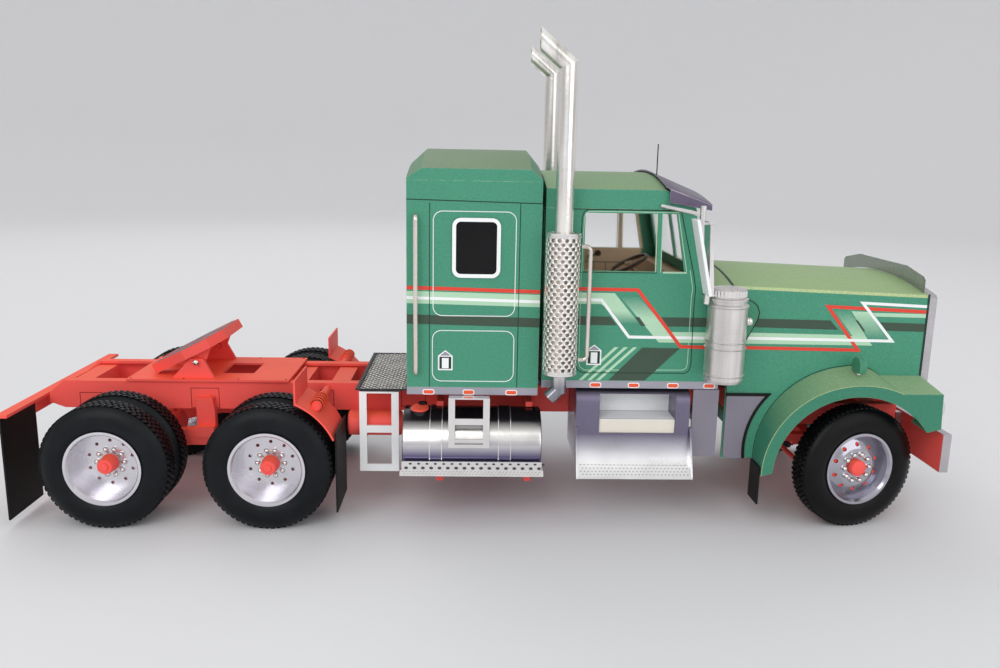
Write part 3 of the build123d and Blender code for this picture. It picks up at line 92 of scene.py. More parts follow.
def colour(name, description, *screen):
    return FloatVectorProperty(name=name, description=description, default=linear(*screen), size=3,
                               min=0.0, max=1.0, subtype="COLOR")


def length(name, description, millimetres):
    return FloatProperty(name=name, description=description, default=millimetres * MM, min=0.0,
                         precision=5, subtype="DISTANCE", unit="LENGTH")


def turned(name, description, degrees):
    return FloatProperty(name=name, description=description, default=radians(degrees), subtype="ANGLE",
                         unit="ROTATION")


def amount(name, description, value, least=0.0):
    return FloatProperty(name=name, description=description, default=value, min=least)


def whole(name, description, value, least):
    return IntProperty(name=name, description=description, default=value, min=least)


class CardColours(bpy.types.PropertyGroup):
    """Colours of the cards, foils and prints."""
    green: colour("Green card", "Body panels", 74, 150, 122)
    # Painted light: the yellowish tint that upward green faces get, standing in for light falling from above
    green_top: colour("Green card from above", "Yellowish cast of level panels", 160, 182, 130)
    red: colour("Red card", "Frame, axles and brackets", 255, 94, 86)
    # Worn edges of the red card, and also painted light: the tone that its upward faces get for how light falls on
    # them
    red_edge: colour("Red card edges", "Orange tone of lips and edges", 250, 96, 66)
    white: colour("White card", "Ladders and pale prints", 250, 252, 252)
    grey: colour("Grey card", "Cab floor", 118, 112, 124)
    # Painted light: the tan is lighter than the card's own tone, to make up for the little lamp light inside the cab
    tan: colour("Tan card", "Seats and dashboard", 214, 172, 134)
    black: colour("Black card", "Mudflaps", 7, 6, 5)
    rubber: colour("Tyre black", "Rear tyres", 12, 15, 19)
    silver: colour("Silver foil", "Lamps, mirrors and tank steps", 236, 233, 232)
    strip: colour("Dull foil", "Base strips", 168, 167, 178)
    violet: colour("Violet foil", "Sun visor", 106, 95, 118)
    pale: colour("Pale band", "Light green band along the sides", 184, 222, 190)
    dark: colour("Dark band", "Dark green band along the sides", 66, 84, 70)
    stripe: colour("Red stripe", "Thin stripe along the sides", 236, 72, 56)
    marker: colour("Marker lamp", "Orange lamps in the base strips", 244, 96, 62)


class PrintSizes(bpy.types.PropertyGroup):
    """Sizes of the printed layout."""
    lift: length("Print thickness", "How far a print stands off its card", 0.05)
    line: length("Thin line", "Width of seams and printed outlines", 0.28)
    rim: length("White line", "Width of the white outlines", 0.42)


class TyreSizes(bpy.types.PropertyGroup):
    """Tread of the tyres."""
    groove: length("Groove depth", "Depth of the tread's grooves", 0.7)
    rear_blocks: whole("Rear blocks", "Blocks round a rear tyre", 66, 12)
    front_blocks: whole("Front blocks", "Blocks round a front tyre", 72, 12)


class GuardSizes(bpy.types.PropertyGroup):
    """Holes of the perforated sheets."""
    guard_rows: whole("Guard rows", "Rows of holes up a muffler guard", 33, 4)
    guard_holes: whole("Guard holes", "Holes round a muffler guard", 14, 6)
    guard_hole: length("Guard hole radius", "Radius of a hole in a muffler guard", 0.62)
    deck_pitch: length("Deck pitch", "Distance between two holes of the deck", 2.47)
    deck_hole: length("Deck hole radius", "Radius of a hole in the deck", 0.8)


class StageLook(bpy.types.PropertyGroup):
    """Camera and lamps."""
    camera_place: FloatVectorProperty(name="Camera place", description="Where the camera stands", size=3,
                                      default=(-0.00376, -0.32545, 0.12756), subtype="TRANSLATION", unit="LENGTH")
    yaw: turned("Yaw", "Camera turned to the right", 1.88)
    pitch: turned("Pitch", "Camera looking down", 11.647)
    roll: turned("Roll", "Camera tipped to the side", 1.066)
    focal: amount("Focal length", "Lens for a 36 mm sensor, in millimetres", 30.78, 10.0)
    key_watts: amount("Key lamp", "Large lamp to the left, in watts", 6.2)
    fill_watts: amount("Fill lamps", "Large lamps to the right and behind, in watts", 2.8)
    sky: amount("Room light", "Even light from all round", 0.72)


class TractorSettings(bpy.types.PropertyGroup):
    """Everything that can be set for the tractor."""
    colours: PointerProperty(type=CardColours)
    prints: PointerProperty(type=PrintSizes)
    tyres: PointerProperty(type=TyreSizes)
    guards: PointerProperty(type=GuardSizes)
    stage: PointerProperty(type=StageLook)


# Shader nodes
def fill_inputs(tree, made, inputs):
    """Sets or links a node's inputs."""
    for key, value in inputs.items():
        if isinstance(value, bpy.types.NodeSocket):
            tree.links.new(value, made.inputs[key])
        else:
            made.inputs[key].default_value = value
    return made


def put(tree, kind, inputs=None, **settings):
    """A shader node with its settings and its inputs."""
    made = tree.nodes.new("ShaderNode" + kind)
    for key, value in settings.items():
        setattr(made, key, value)
    return fill_inputs(tree, made, inputs or {})


def math_node(tree, operation, *values):
    return put(tree, "Math", dict(enumerate(values)), operation=operation).outputs[0]


def object_place(tree):
    return put(tree, "TexCoord").outputs["Object"]


def noise(tree, place, scale, detail, **more):
    return put(tree, "TexNoise", {"Vector": place, "Scale": scale, "Detail": detail, **more}).outputs["Fac"]


def mapped(tree, value, low=0.0, high=1.0, to_low=0.0, to_high=1.0):
    """A value stretched from one range to another."""
    return put(tree, "MapRange", {"Value": value, "From Min": low, "From Max": high, "To Min": to_low,
                                  "To Max": to_high}).outputs[0]


def swing(tree, value, factor):
    """How far a value is from one half, times a factor."""
    return math_node(tree, "MULTIPLY", math_node(tree, "SUBTRACT", value, 0.5), factor)


def toned(tree, shade, part):
    """A colour made lighter or darker by a part of itself."""
    factor = math_node(tree, "ADD", part, 1.0)
    return put(tree, "VectorMath", {0: shade, "Scale": factor}, operation="SCALE").outputs[0]


def mix_colour(tree, factor, first, second):
    return put(tree, "Mix", {0: factor, 6: first, 7: second}, data_type="RGBA").outputs[2]


def tinted(group, given, mask):
    """A group's colour, with its tint where the mask lets it through."""
    factor = math_node(group, "MULTIPLY", mask, given["Amount"])
    return {"Colour": mix_colour(group, factor, given["Colour"], given["Tint"])}


def fibre_effect(group, given):
    """Card fibre: fine flecks and soft clouds in a colour, and a height for its bump."""
    place = object_place(group)
    fine = swing(group, noise(group, place, 1500.0, 2.0, Roughness=0.7), given["Fleck"])
    soft = swing(group, noise(group, place, 48.0, 3.0), given["Cloud"])
    return {"Colour": toned(group, given["Colour"], math_node(group, "ADD", fine, soft)),
            "Height": noise(group, place, 1300.0, 4.0)}


def painted_top_light_effect(group, given):
    """Painted top light: a tint painted where a surface looks up, standing in for light that falls on it from above.
    """
    up = put(group, "SeparateXYZ", {0: put(group, "TexCoord").outputs["Normal"]}).outputs["Z"]
    return tinted(group, given, mapped(group, up, 0.35, 0.95))


def edge_effect(group, given):
    """Worn edges: the card's pale core along sharp edges, broken up by noise."""
    soft = put(group, "Bevel", {"Radius": 0.0003}, samples=6).outputs[0]
    flat = put(group, "NewGeometry").outputs["Normal"]
    same = put(group, "VectorMath", {0: soft, 1: flat}, operation="DOT_PRODUCT").outputs["Value"]
    patch = mapped(group, noise(group, object_place(group), 300.0, 3.0), 0.35, 0.6)
    return tinted(group, given, math_node(group, "MULTIPLY", mapped(group, same, 0.97, 0.80), patch))


def foil_effect(group, given):
    """Foil wrinkles: a smudged tone, a height with creases, and where the foil is dull."""
    place = object_place(group)
    wave = noise(group, place, given["Scale"], 4.0, Distortion=0.6)
    crease = put(group, "TexVoronoi", {"Vector": place, "Scale": given["Scale"]}, feature="DISTANCE_TO_EDGE")
    fold = mapped(group, crease.outputs["Distance"], 0.0, 0.12)
    height = math_node(group, "ADD", math_node(group, "MULTIPLY", wave, 0.7), math_node(group, "MULTIPLY", fold, 0.18))
    smudge = noise(group, place, 90.0, 5.0)
    return {"Colour": toned(group, given["Colour"], swing(group, smudge, given["Tone"])), "Height": height,
            "Dull": smudge}


def streak_and_reflection_effect(group, given):
    """Streaks and painted reflections: light and dark bands that run up and down a rolled sheet, partly the foil's own
    streaks and partly painted reflections.
    """
    drawn = put(group, "VectorMath", {0: object_place(group), 1: (1.0, 1.0, 0.03)}, operation="MULTIPLY").outputs[0]
    part = mapped(group, noise(group, drawn, 260.0, 3.0, Roughness=0.6), 0.3, 0.7, -1.0)
    return {"Colour": toned(group, given["Colour"], math_node(group, "MULTIPLY", part, given["Amount"]))}


def height_effect(group, given):
    """Height tint: the tint below, the colour above, blended between two heights."""
    height = put(group, "SeparateXYZ", {0: object_place(group)}).outputs["Z"]
    mask = mapped(group, height, given["Low"], given["High"])
    return {"Colour": mix_colour(group, mask, given["Tint"], given["Colour"])}


def dust_effect(group, given):
    """Dust: a dry tint caught in patches."""
    patch = noise(group, object_place(group), 130.0, 6.0, Roughness=0.65)
    return tinted(group, given, mapped(group, patch, 0.42, 0.72))


# What makes each shared effect, and its inputs beside the colour; None stands for a colour
EFFECTS = {
    "Card fibre": (fibre_effect, {"Fleck": 0.1, "Cloud": 0.05}),
    "Level panels": (painted_top_light_effect, {"Tint": None, "Amount": 0.85}),
    "Worn edges": (edge_effect, {"Tint": None, "Amount": 0.5}),
    "Foil wrinkles": (foil_effect, {"Scale": 300.0, "Tone": 0.25}),
    "Height tint": (height_effect, {"Tint": None, "Low": 0.0, "High": 0.1}),
    "Dust": (dust_effect, {"Tint": None, "Amount": 0.35}),
    "Rolled streaks": (streak_and_reflection_effect, {"Amount": 0.3}),
}


def effect_group(name):
    """The node group of a shared effect, made when it is first asked for."""
    ready = bpy.data.node_groups.get(name)
    if ready:
        return ready
    make, inputs = EFFECTS[name]
    group = bpy.data.node_groups.new(name, "ShaderNodeTree")
    for label, value in {"Colour": None, **inputs}.items():
        kind = "NodeSocketColor" if value is None else "NodeSocketFloat"
        socket = group.interface.new_socket(name=label, in_out="INPUT", socket_type=kind)
        socket.default_value = (1.0, 1.0, 1.0, 1.0) if value is None else value
    results = make(group, group.nodes.new("NodeGroupInput").outputs)
    for label in results:
        kind = "NodeSocketColor" if label == "Colour" else "NodeSocketFloat"
        group.interface.new_socket(name=label, in_out="OUTPUT", socket_type=kind)
    fill_inputs(group, group.nodes.new("NodeGroupOutput"), results)
    return group


def effect(tree, name, shade, **inputs):
    """Lays one of the shared effects over a colour of a material."""
    made = tree.nodes.new("ShaderNodeGroup")
    made.node_tree = effect_group(name)
    return fill_inputs(tree, made, {"Colour": shade, **inputs}).outputs


def tone(value):
    """A colour with its alpha; a name stands for a colour of the settings."""
    colours = bpy.context.scene.tractor.colours
    return (*(getattr(colours, value) if isinstance(value, str) else value), 1.0)


def new_material(name, uniform):
    """A material with a Principled BSDF of these uniform values, and its output."""
    made = bpy.data.materials.new(name)
    made.use_nodes = True
    tree = made.node_tree
    tree.nodes.clear()
    shader = put(tree, "BsdfPrincipled", uniform)
    put(tree, "OutputMaterial", {"Surface": shader.outputs[0]})
    return made, tree, shader


def add_surface(tree, shader, shade, height, strength, distance):
    """Gives a shader its colour and its bump."""
    bump = put(tree, "Bump", {"Height": height, "Strength": strength, "Distance": distance}).outputs[0]
    fill_inputs(tree, shader, {"Base Color": shade, "Normal": bump})


def card(name, shade, top=None, edge=None, fleck=0.16, cloud=0.08, roughness=0.5, dust=None):
    """Printed card: painted light on upward faces, fibre, its core at worn edges, and dust."""
    made, tree, shader = new_material(name, {"Roughness": roughness, "Specular IOR Level": 0.3})
    shade = tone(shade)
    # Painted light: upward faces get the top tint, lighter or darker for how light falls on them
    if top:
        shade = effect(tree, "Level panels", shade, Tint=tone(top))["Colour"]
    fibre = effect(tree, "Card fibre", shade, Fleck=fleck, Cloud=cloud)
    shade = fibre["Colour"]
    if edge:
        shade = effect(tree, "Worn edges", shade, Tint=tone(edge))["Colour"]
    if dust:
        shade = effect(tree, "Dust", shade, Tint=tone(dust))["Colour"]
    add_surface(tree, shader, shade, fibre["Height"], 0.35, 0.00006)
    return made


def foil(name, shade, roughness=0.24, scale=240.0, wrinkle=0.25, metal=0.85, tints=(), streak=0.0, edge=None):
    """Metal foil laid on card; tints are lower colours, each with the two heights between which it gives way."""
    made, tree, shader = new_material(name, {"Metallic": metal})
    shade = tone(shade)
    for low, start, end in tints:
        shade = effect(tree, "Height tint", shade, Tint=tone(low), Low=start, High=end)["Colour"]
    # Painted reflections in part: the streaks stand in for the light and dark bands that a shiny roll reflects
    if streak:
        shade = effect(tree, "Rolled streaks", shade, Amount=streak)["Colour"]
    if edge:
        shade = effect(tree, "Worn edges", shade, Tint=tone(edge), Amount=0.9)["Colour"]
    creased = effect(tree, "Foil wrinkles", shade, Scale=scale)
    dull = mapped(tree, creased["Dull"], 0.3, 0.7, roughness * 0.75, roughness * 1.35)
    fill_inputs(tree, shader, {"Roughness": dull})
    add_surface(tree, shader, creased["Colour"], creased["Height"], wrinkle, 0.0002)
    return made


def rubber(name, shade, dust):
    """Black card of the tyres, dusty in patches."""
    made, tree, shader = new_material(name, {"Roughness": 0.42, "Specular IOR Level": 0.2})
    fibre = effect(tree, "Card fibre", tone(shade), Fleck=0.2, Cloud=0.25)
    shade = effect(tree, "Dust", fibre["Colour"], Tint=tone(dust), Amount=0.5)["Colour"]
    add_surface(tree, shader, shade, fibre["Height"], 0.25, 0.00005)
    return made


def film(name, shade, clear, roughness, alpha=1.0, bend=1.3):
    """Window film, clear or dark, with faint smudges; alpha below 1 lets lamp light through."""
    made, tree, shader = new_material(name, {"Transmission Weight": clear, "IOR": bend, "Alpha": alpha})
    smudged = effect(tree, "Foil wrinkles", tone(shade), Scale=60.0, Tone=0.08)
    fill_inputs(tree, shader, {"Roughness": mapped(tree, smudged["Dull"], 0.0, 1.0, roughness, roughness * 2.0)})
    add_surface(tree, shader, smudged["Colour"], smudged["Height"], 0.02, 0.00005)
    return made


def fade(name, first, second):
    """A print that runs from one colour to another in fine dots, along the piece's own fade value."""
    made, tree, shader = new_material(name, {"Roughness": 0.5})
    along = put(tree, "Attribute", attribute_name="fade").outputs["Fac"]
    dots = swing(tree, noise(tree, object_place(tree), 2400.0, 2.0), 0.5)
    mask = mapped(tree, math_node(tree, "ADD", along, dots))
    fibre = effect(tree, "Card fibre", mix_colour(tree, mask, tone(first), tone(second)))
    add_surface(tree, shader, fibre["Colour"], fibre["Height"], 0.3, 0.00006)
    return made


def paper(name, shade):
    """Plain paper of the floor."""
    made, tree, shader = new_material(name, {"Roughness": 0.9})
    fibre = effect(tree, "Card fibre", tone(shade), Fleck=0.01, Cloud=0.01)
    fill_inputs(tree, shader, {"Base Color": fibre["Colour"]})
    return made


CORE = linear(214, 222, 190)
FINISHES = {
    # The top tints of these cards and of the red card are painted light: upward faces are made lighter or darker for
    # how light falls on them
    "green card": (card, "green", dict(top="green_top", edge=CORE, fleck=0.6)),
    "lamp green": (card, linear(70, 142, 112), dict(edge=CORE, fleck=0.5)),
    "fender card": (card, linear(62, 132, 106), dict(top=linear(146, 176, 132), edge=CORE, fleck=0.6)),
    "roof card": (card, "green", dict(top=linear(130, 156, 112), edge=CORE, fleck=0.6)),
    "sleeper roof card": (card, "green", dict(top=linear(108, 128, 92), edge=CORE, fleck=0.6)),
    "grease print": (card, linear(96, 66, 74), dict(fleck=0.3, roughness=0.4)),
    "cream card": (card, linear(232, 225, 212), dict(fleck=0.08)),
    "dot print": (card, linear(74, 76, 82), dict(fleck=0.1)),
    "emboss print": (card, linear(176, 172, 170), dict(fleck=0.1)),
    # Painted light: a lighter tan still, standing in for light that comes in through the windows
    "door trim": (card, linear(250, 216, 180), dict(fleck=0.1)),
    "wheel rim": (card, linear(84, 62, 52), dict(fleck=0.2, roughness=0.3)),
    "core print": (card, linear(186, 204, 150), dict(fleck=0.8)),
    "roof print": (card, linear(156, 154, 168), dict(fleck=0.1)),
    "edge print": (card, linear(108, 100, 130), dict(fleck=0.1)),
    "mark print": (card, linear(132, 132, 138), dict(fleck=0.1)),
    "red card": (card, "red", dict(top="red_edge", edge="red_edge", fleck=0.08, cloud=0.12, roughness=0.55)),
    "ring card": (card, linear(236, 84, 46), dict(fleck=0.1)),
    "white card": (card, "white", dict(fleck=0.04, roughness=0.6)),
    "grey card": (card, "grey", dict(edge=CORE)),
    "tan card": (card, "tan", dict(edge=CORE)),
    "black card": (card, "black", dict(fleck=0.3, roughness=0.6, dust=linear(18, 15, 12))),
    "black print": (card, "black", dict(fleck=0.1)),
    "deck card": (card, linear(34, 34, 42), dict(fleck=0.3, dust=linear(60, 56, 62))),
    # Painted shade seen through the deck's holes
    "under print": (card, linear(60, 26, 30), dict(fleck=0.3)),
    "pale print": (card, "pale", {}),
    "dark print": (card, "dark", {}),
    "stripe print": (card, "stripe", {}),
    "white print": (card, "white", dict(fleck=0.05)),
    "line print": (card, linear(30, 54, 44), {}),
    "rail print": (card, linear(120, 28, 26), {}),
    "marker print": (card, "marker", dict(roughness=0.3)),
    "fade in": (fade, "green", dict(second="pale")),
    "silver foil": (foil, "silver", dict(roughness=0.2, metal=0.9)),
    # Painted reflections: the tank foil is dark at the top, bright in a band below and violet at the bottom, and the
    # step foil is dark along its top edge, violet-grey below it and white low down
    "tank foil": (foil, linear(58, 56, 60), dict(roughness=0.2, scale=120.0, wrinkle=0.12, tints=(
        (linear(246, 244, 240), 0.0345, 0.038), (linear(112, 106, 142), 0.0265, 0.0325)))),
    "step foil": (foil, linear(52, 50, 56), dict(roughness=0.3, scale=300.0, wrinkle=0.15, tints=(
        (linear(124, 118, 140), 0.0474, 0.0496), (linear(248, 248, 248), 0.0235, 0.034)))),
    "panel foil": (foil, linear(142, 137, 149), dict(roughness=0.34, scale=380.0, wrinkle=0.2, metal=0.6)),
    "stack foil": (foil, linear(238, 234, 228), dict(
        roughness=0.2, scale=200.0, metal=0.9, tints=((linear(136, 136, 144), 0.052, 0.06),), streak=0.45)),
    "front foil": (foil, linear(194, 190, 194), dict(scale=300.0, metal=0.9)),
    "handle foil": (foil, linear(226, 218, 208), dict(roughness=0.22, scale=300.0, streak=0.2)),
    "front rim foil": (foil, linear(186, 184, 194), dict(roughness=0.16, scale=380.0, wrinkle=0.2, metal=0.95)),
    "cleaner foil": (foil, linear(220, 216, 214), dict(roughness=0.3, scale=420.0, wrinkle=0.35, streak=0.18)),
    "liner foil": (foil, linear(214, 200, 190), dict(roughness=0.5, metal=0.0, streak=0.6)),
    "wrinkled foil": (foil, linear(242, 238, 232), dict(roughness=0.26, scale=520.0, wrinkle=0.5)),
    "dull foil": (foil, "strip", dict(roughness=0.4, scale=380.0, wrinkle=0.2, metal=0.5)),
    "violet foil": (foil, "violet", dict(
        roughness=0.35, scale=150.0, wrinkle=0.2, metal=0.5, edge=linear(206, 196, 206))),
    "chrome": (foil, linear(232, 230, 226), dict(roughness=0.12, scale=500.0, wrinkle=0.3, metal=1.0)),
    "rim foil": (foil, linear(222, 220, 226), dict(roughness=0.22, scale=420.0, wrinkle=0.3)),
    "rear rubber": (rubber, "rubber", dict(dust=linear(26, 30, 34))),
    "front rubber": (rubber, linear(6, 6, 8), dict(dust=linear(13, 13, 14))),
    "clear film": (film, (0.94, 0.97, 0.95), dict(clear=1.0, roughness=0.01, alpha=0.15, bend=1.04)),
    "dark film": (film, linear(12, 12, 14), dict(clear=0.0, roughness=0.12)),
    "smoke film": (film, linear(128, 142, 122), dict(clear=0.7, roughness=0.1, alpha=0.8)),
    "lamp glass": (film, linear(226, 230, 232), dict(clear=0.3, roughness=0.08)),
    "floor paper": (paper, linear(232, 232, 234), {}),
}


def material(name):
    """One of the tractor's finishes, made when it is first asked for."""
    make, shade, options = FINISHES[name]
    return bpy.data.materials.get(name) or make(name, shade, **options)


NODE_FINISH = {
    "green card": ("cab_front", "cab_sides", "hood", "sleeper_ends", "sleeper_sides"),
    "fender card": ("front_fenders",),
    "roof card": ("cab_roof",),
    "sleeper roof card": ("sleeper_roof",),
    "red card": ("air_tank", "fifth_wheel", "fifth_wheel_base", "flap_hanger", "frame_crossmembers", "frame_rails",
                 "front_axle", "knuckle_left", "knuckle_right", "quarter_fenders", "rear_axles", "rear_suspension",
                 "tank_brackets", "tie_rod"),
    "white card": ("deck_ladders",),
    "grey card": ("cab_floor",),
    "tan card": ("cab_seats", "dashboard"),
    "black card": ("mudflaps",),
    "silver foil": ("front_lamps", "mirrors", "tank_steps"),
    "front foil": ("bumper", "radiator"),
    "handle foil": ("grab_handles",),
    "cleaner foil": ("air_cleaners",),
    "stack foil": ("exhaust_stacks",),
    "step foil": ("step_boxes",),
    "tank foil": ("fuel_tanks",),
    "dull foil": ("base_strips",),
    "panel foil": ("side_panels",),
    "violet foil": ("sun_visor",),
    "rim foil": ("drive_rim_left", "drive_rim_right", "tail_rim_left", "tail_rim_right"),
    "front rim foil": ("front_rim_left", "front_rim_right"),
    "clear film": ("cab_glass",),
    "dark film": ("sleeper_windows",),
    "smoke film": ("bug_deflector",),
    "deck card": ("deck_plate",),
    "rear rubber": ("drive_tyres_left", "drive_tyres_right", "tail_tyres_left", "tail_tyres_right"),
    "front rubber": ("front_tyre_left", "front_tyre_right"),
    "wrinkled foil": ("muffler_guards",),
}


# Meshes. Places are given in millimetres and turned into metres as vertices are made. A place function maps a
# shape's own (u, v, h), where h is its height or length, to a place in the model.
def vertex(mesh, place):
    return mesh.verts.new(Vector(place) * MM)


def side_place(y, side):
    """An upright side panel: u is X, v is Z and h the distance off the panel."""
    return lambda u, v, h: (u, side * (y + h), v)


def moved(place, du, dv, dh=0.0):
    """A place function whose start is elsewhere on the same surface."""
    return lambda u, v, h: place(du + u, dv + v, dh + h)


def wheel_place(axle_x, side):
    """A wheel: h is the distance from the middle of the truck. Front wheels stand turned about their kingpin."""
    turn = radians(STEER_REST) if axle_x == FRONT_X else 0.0
    pin = side * KINGPIN_Y

    def place(u, v, h):
        y = side * h - pin
        return (axle_x + u * cos(turn) - y * sin(turn), pin + u * sin(turn) + y * cos(turn), AXLE_Z + v)
    return place


def turns(count, start=0.0):
    """Angles that go once round in equal steps."""
    return [start + 2 * pi * k / count for k in range(count)]


def corners(u0, v0, u1, v1):
    """A rectangle's corners."""
    return [(u0, v0), (u1, v0), (u1, v1), (u0, v1)]


def rounded(u0, v0, u1, v1, r):
    """A rectangle with round corners."""
    out = []
    for cu, cv, start in ((u1 - r, v0 + r, -90), (u1 - r, v1 - r, 0), (u0 + r, v1 - r, 90), (u0 + r, v0 + r, 180)):
        out += [(cu + r * cos(radians(a)), cv + r * sin(radians(a))) for a in range(start, start + 91, 15)]
    return out


def circle(u, v, r, count=20):
    return [(u + r * cos(a), v + r * sin(a)) for a in turns(count)]


def arc_points(a, b, c, steps=10):
    """Points of the arc from a to c through b, in a flat panel."""
    (ax, ay), (bx, by), (cx, cy) = a, b, c
    d = 2 * (ax * (by - cy) + bx * (cy - ay) + cx * (ay - by))
    aa, bb, cc = ax * ax + ay * ay, bx * bx + by * by, cx * cx + cy * cy
    ux = (aa * (by - cy) + bb * (cy - ay) + cc * (ay - by)) / d
    uy = (aa * (cx - bx) + bb * (ax - cx) + cc * (bx - ax)) / d
    r = ((ax - ux) ** 2 + (ay - uy) ** 2) ** 0.5
    first, middle, last = (atan2(y - uy, x - ux) for x, y in (a, b, c))
    sweep = (last - first) % (2 * pi)
    if (middle - first) % (2 * pi) > sweep:
        sweep -= 2 * pi
    angles = (first + sweep * k / steps for k in range(steps + 1))
    return [(ux + r * cos(angle), uy + r * sin(angle)) for angle in angles]


def fender_arc(points):
    """Two arcs in a row, through five points."""
    return arc_points(*points[:3], 24) + arc_points(*points[2:])[1:]


def add_loft(mesh, rings, slot=0, caps=True):
    """Skins closed rings of equal length."""
    made = [[vertex(mesh, p) for p in ring] for ring in rings]
    faces = []
    for low, high in zip(made, made[1:]):
        for k in range(len(low)):
            after = (k + 1) % len(low)
            faces.append(mesh.faces.new((low[k], low[after], high[after], high[k])))
    if caps:
        faces += [mesh.faces.new(made[0][::-1]), mesh.faces.new(made[-1])]
    for face in faces:
        face.material_index = slot


def add_fill(mesh, place, outline, heights, slot=0):
    """A thin flat piece with this outline."""
    add_loft(mesh, [[place(u, v, h) for u, v in outline] for h in heights], slot)


def add_ribbon(mesh, place, points, width, heights, slot=0, close=False):
    """A thin line of even width along points, mitred at its corners."""
    points = [Vector(point) for point in points]
    count = len(points)
    low, high = heights
    rows = []
    for k, here in enumerate(points):
        arrive = (here - points[k - 1]).normalized() if k or close else None
        leave = (points[(k + 1) % count] - here).normalized() if k < count - 1 or close else arrive
        way = ((leave if arrive is None else arrive) + leave).normalized()
        across = Vector((-way.y, way.x))
        reach = width / 2 / max(0.4, across.dot(Vector((-leave.y, leave.x))))
        left, right = here + across * reach, here - across * reach
        rows.append([place(*left, low), place(*left, high), place(*right, high), place(*right, low)])
    if close:
        rows.append(rows[0])
    add_loft(mesh, rows, slot, caps=not close)
    if close:
        bmesh.ops.remove_doubles(mesh, verts=mesh.verts, dist=1e-7)


def add_prints(mesh, place, lift, rows):
    """Lays prints on a panel. A row is a slot, a height in lifts and points; a width after them makes it a line."""
    for slot, times, points, *width in rows:
        if width:
            add_ribbon(mesh, place, points, width[0], (SUNK, lift * times), slot, len(width) > 1)
        else:
            add_fill(mesh, place, points, (SUNK, lift * times), slot)


def add_lathe(mesh, profile, count, place, slot=0):
    """A closed turned body; profile is a loop of (radius, height)."""
    rings = [[place(r * cos(a), r * sin(a), h) for r, h in profile] for a in turns(count)]
    add_loft(mesh, rings + rings[:1], slot, caps=False)


def add_ring(mesh, place, radii, heights, count, slot=0):
    """A flat or tubular ring between two radii and two heights."""
    add_lathe(mesh, corners(radii[0], heights[0], radii[1], heights[1]), count, place, slot)


def add_turned(mesh, profile, count, place, slot=0):
    """A solid turned body; profile runs from its lower end to its upper end and both ends are capped flat."""
    add_loft(mesh, [[place(r * cos(a), r * sin(a), h) for a in turns(count)] for r, h in profile], slot)


def add_dome(mesh, place, r, h, count, slot):
    """A domed cap that rises from height 0 of its place."""
    profile = [(1.0, 0.0), (1.0, 0.45), (0.82, 0.75), (0.45, 0.95), (0.12, 1.0)]
    add_turned(mesh, [(r * wide, h * high) for wide, high in profile], count, place, slot)


def add_bar(mesh, a, b, r, count, slot=0):
    """A round bar between two points."""
    a, b = Vector(a), Vector(b)
    way = (b - a).normalized()
    across = way.orthogonal().normalized()
    other = way.cross(across)
    add_turned(mesh, [(r, 0.0), (r, (b - a).length)], count,
               lambda u, v, h: a + across * u + other * v + way * h, slot)


def add_box(mesh, xs, ys, zs, slot=0, side=1):
    """A box between two values along each axis; side -1 mirrors it to the right."""
    (x0, x1), (y0, y1) = xs, sorted(side * y for y in ys)
    add_loft(mesh, [[(x, y, z) for x, y in corners(x0, y0, x1, y1)] for z in zs], slot)


def add_along(mesh, path, side, section, slot):
    """A section of (x, y, z) offsets drawn along a path; side mirrors both."""
    add_loft(mesh, [[(x + dx, side * (y + dy), z + dz) for dx, dy, dz in section] for x, y, z in path], slot)


def mesh_data(name, mesh, finishes):
    """Turns a bmesh into smooth mesh data with these finishes."""
    bmesh.ops.recalc_face_normals(mesh, faces=mesh.faces)
    data = bpy.data.meshes.new(name)
    mesh.to_mesh(data)
    mesh.free()
    for finish in finishes:
        data.materials.append(material(finish))
    data.shade_smooth()
    return data


def new_object(name, data):
    """An object of this data, in the scene."""
    made = bpy.data.objects.new(name, data)
    bpy.context.scene.collection.objects.link(made)
    return made


def finish_piece(name, mesh, finishes, body=ROOT, replaces=()):
    """Turns the mesh into a piece that rides on a body of the model."""
    bmesh.ops.remove_doubles(mesh, verts=mesh.verts, dist=2e-7)
    data = mesh_data(name, mesh, finishes)
    data.set_sharp_from_angle(angle=SMOOTH)
    piece = new_object(name, data)
    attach(piece, body)
    if replaces:
        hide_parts(*replaces)
    return piece


class PieceOperator:
    """Common ground of the tractor's operators: the pieces of each side, then those that stand once."""
    bl_options = {"REGISTER", "UNDO"}

    def execute(self, context):
        settings = context.scene.tractor
        prints = settings.prints
        self.lift, self.line, self.rim = (size / MM for size in (prints.lift, prints.line, prints.rim))
        for word, side in SIDES:
            self.build_side(settings, word, side)
        self.build(settings)
        return {"FINISHED"}

    def build_side(self, settings, word, side):
        """Pieces of one side, if the operator has them."""

    def build(self, settings):
        """Pieces that stand once, if the operator has them."""


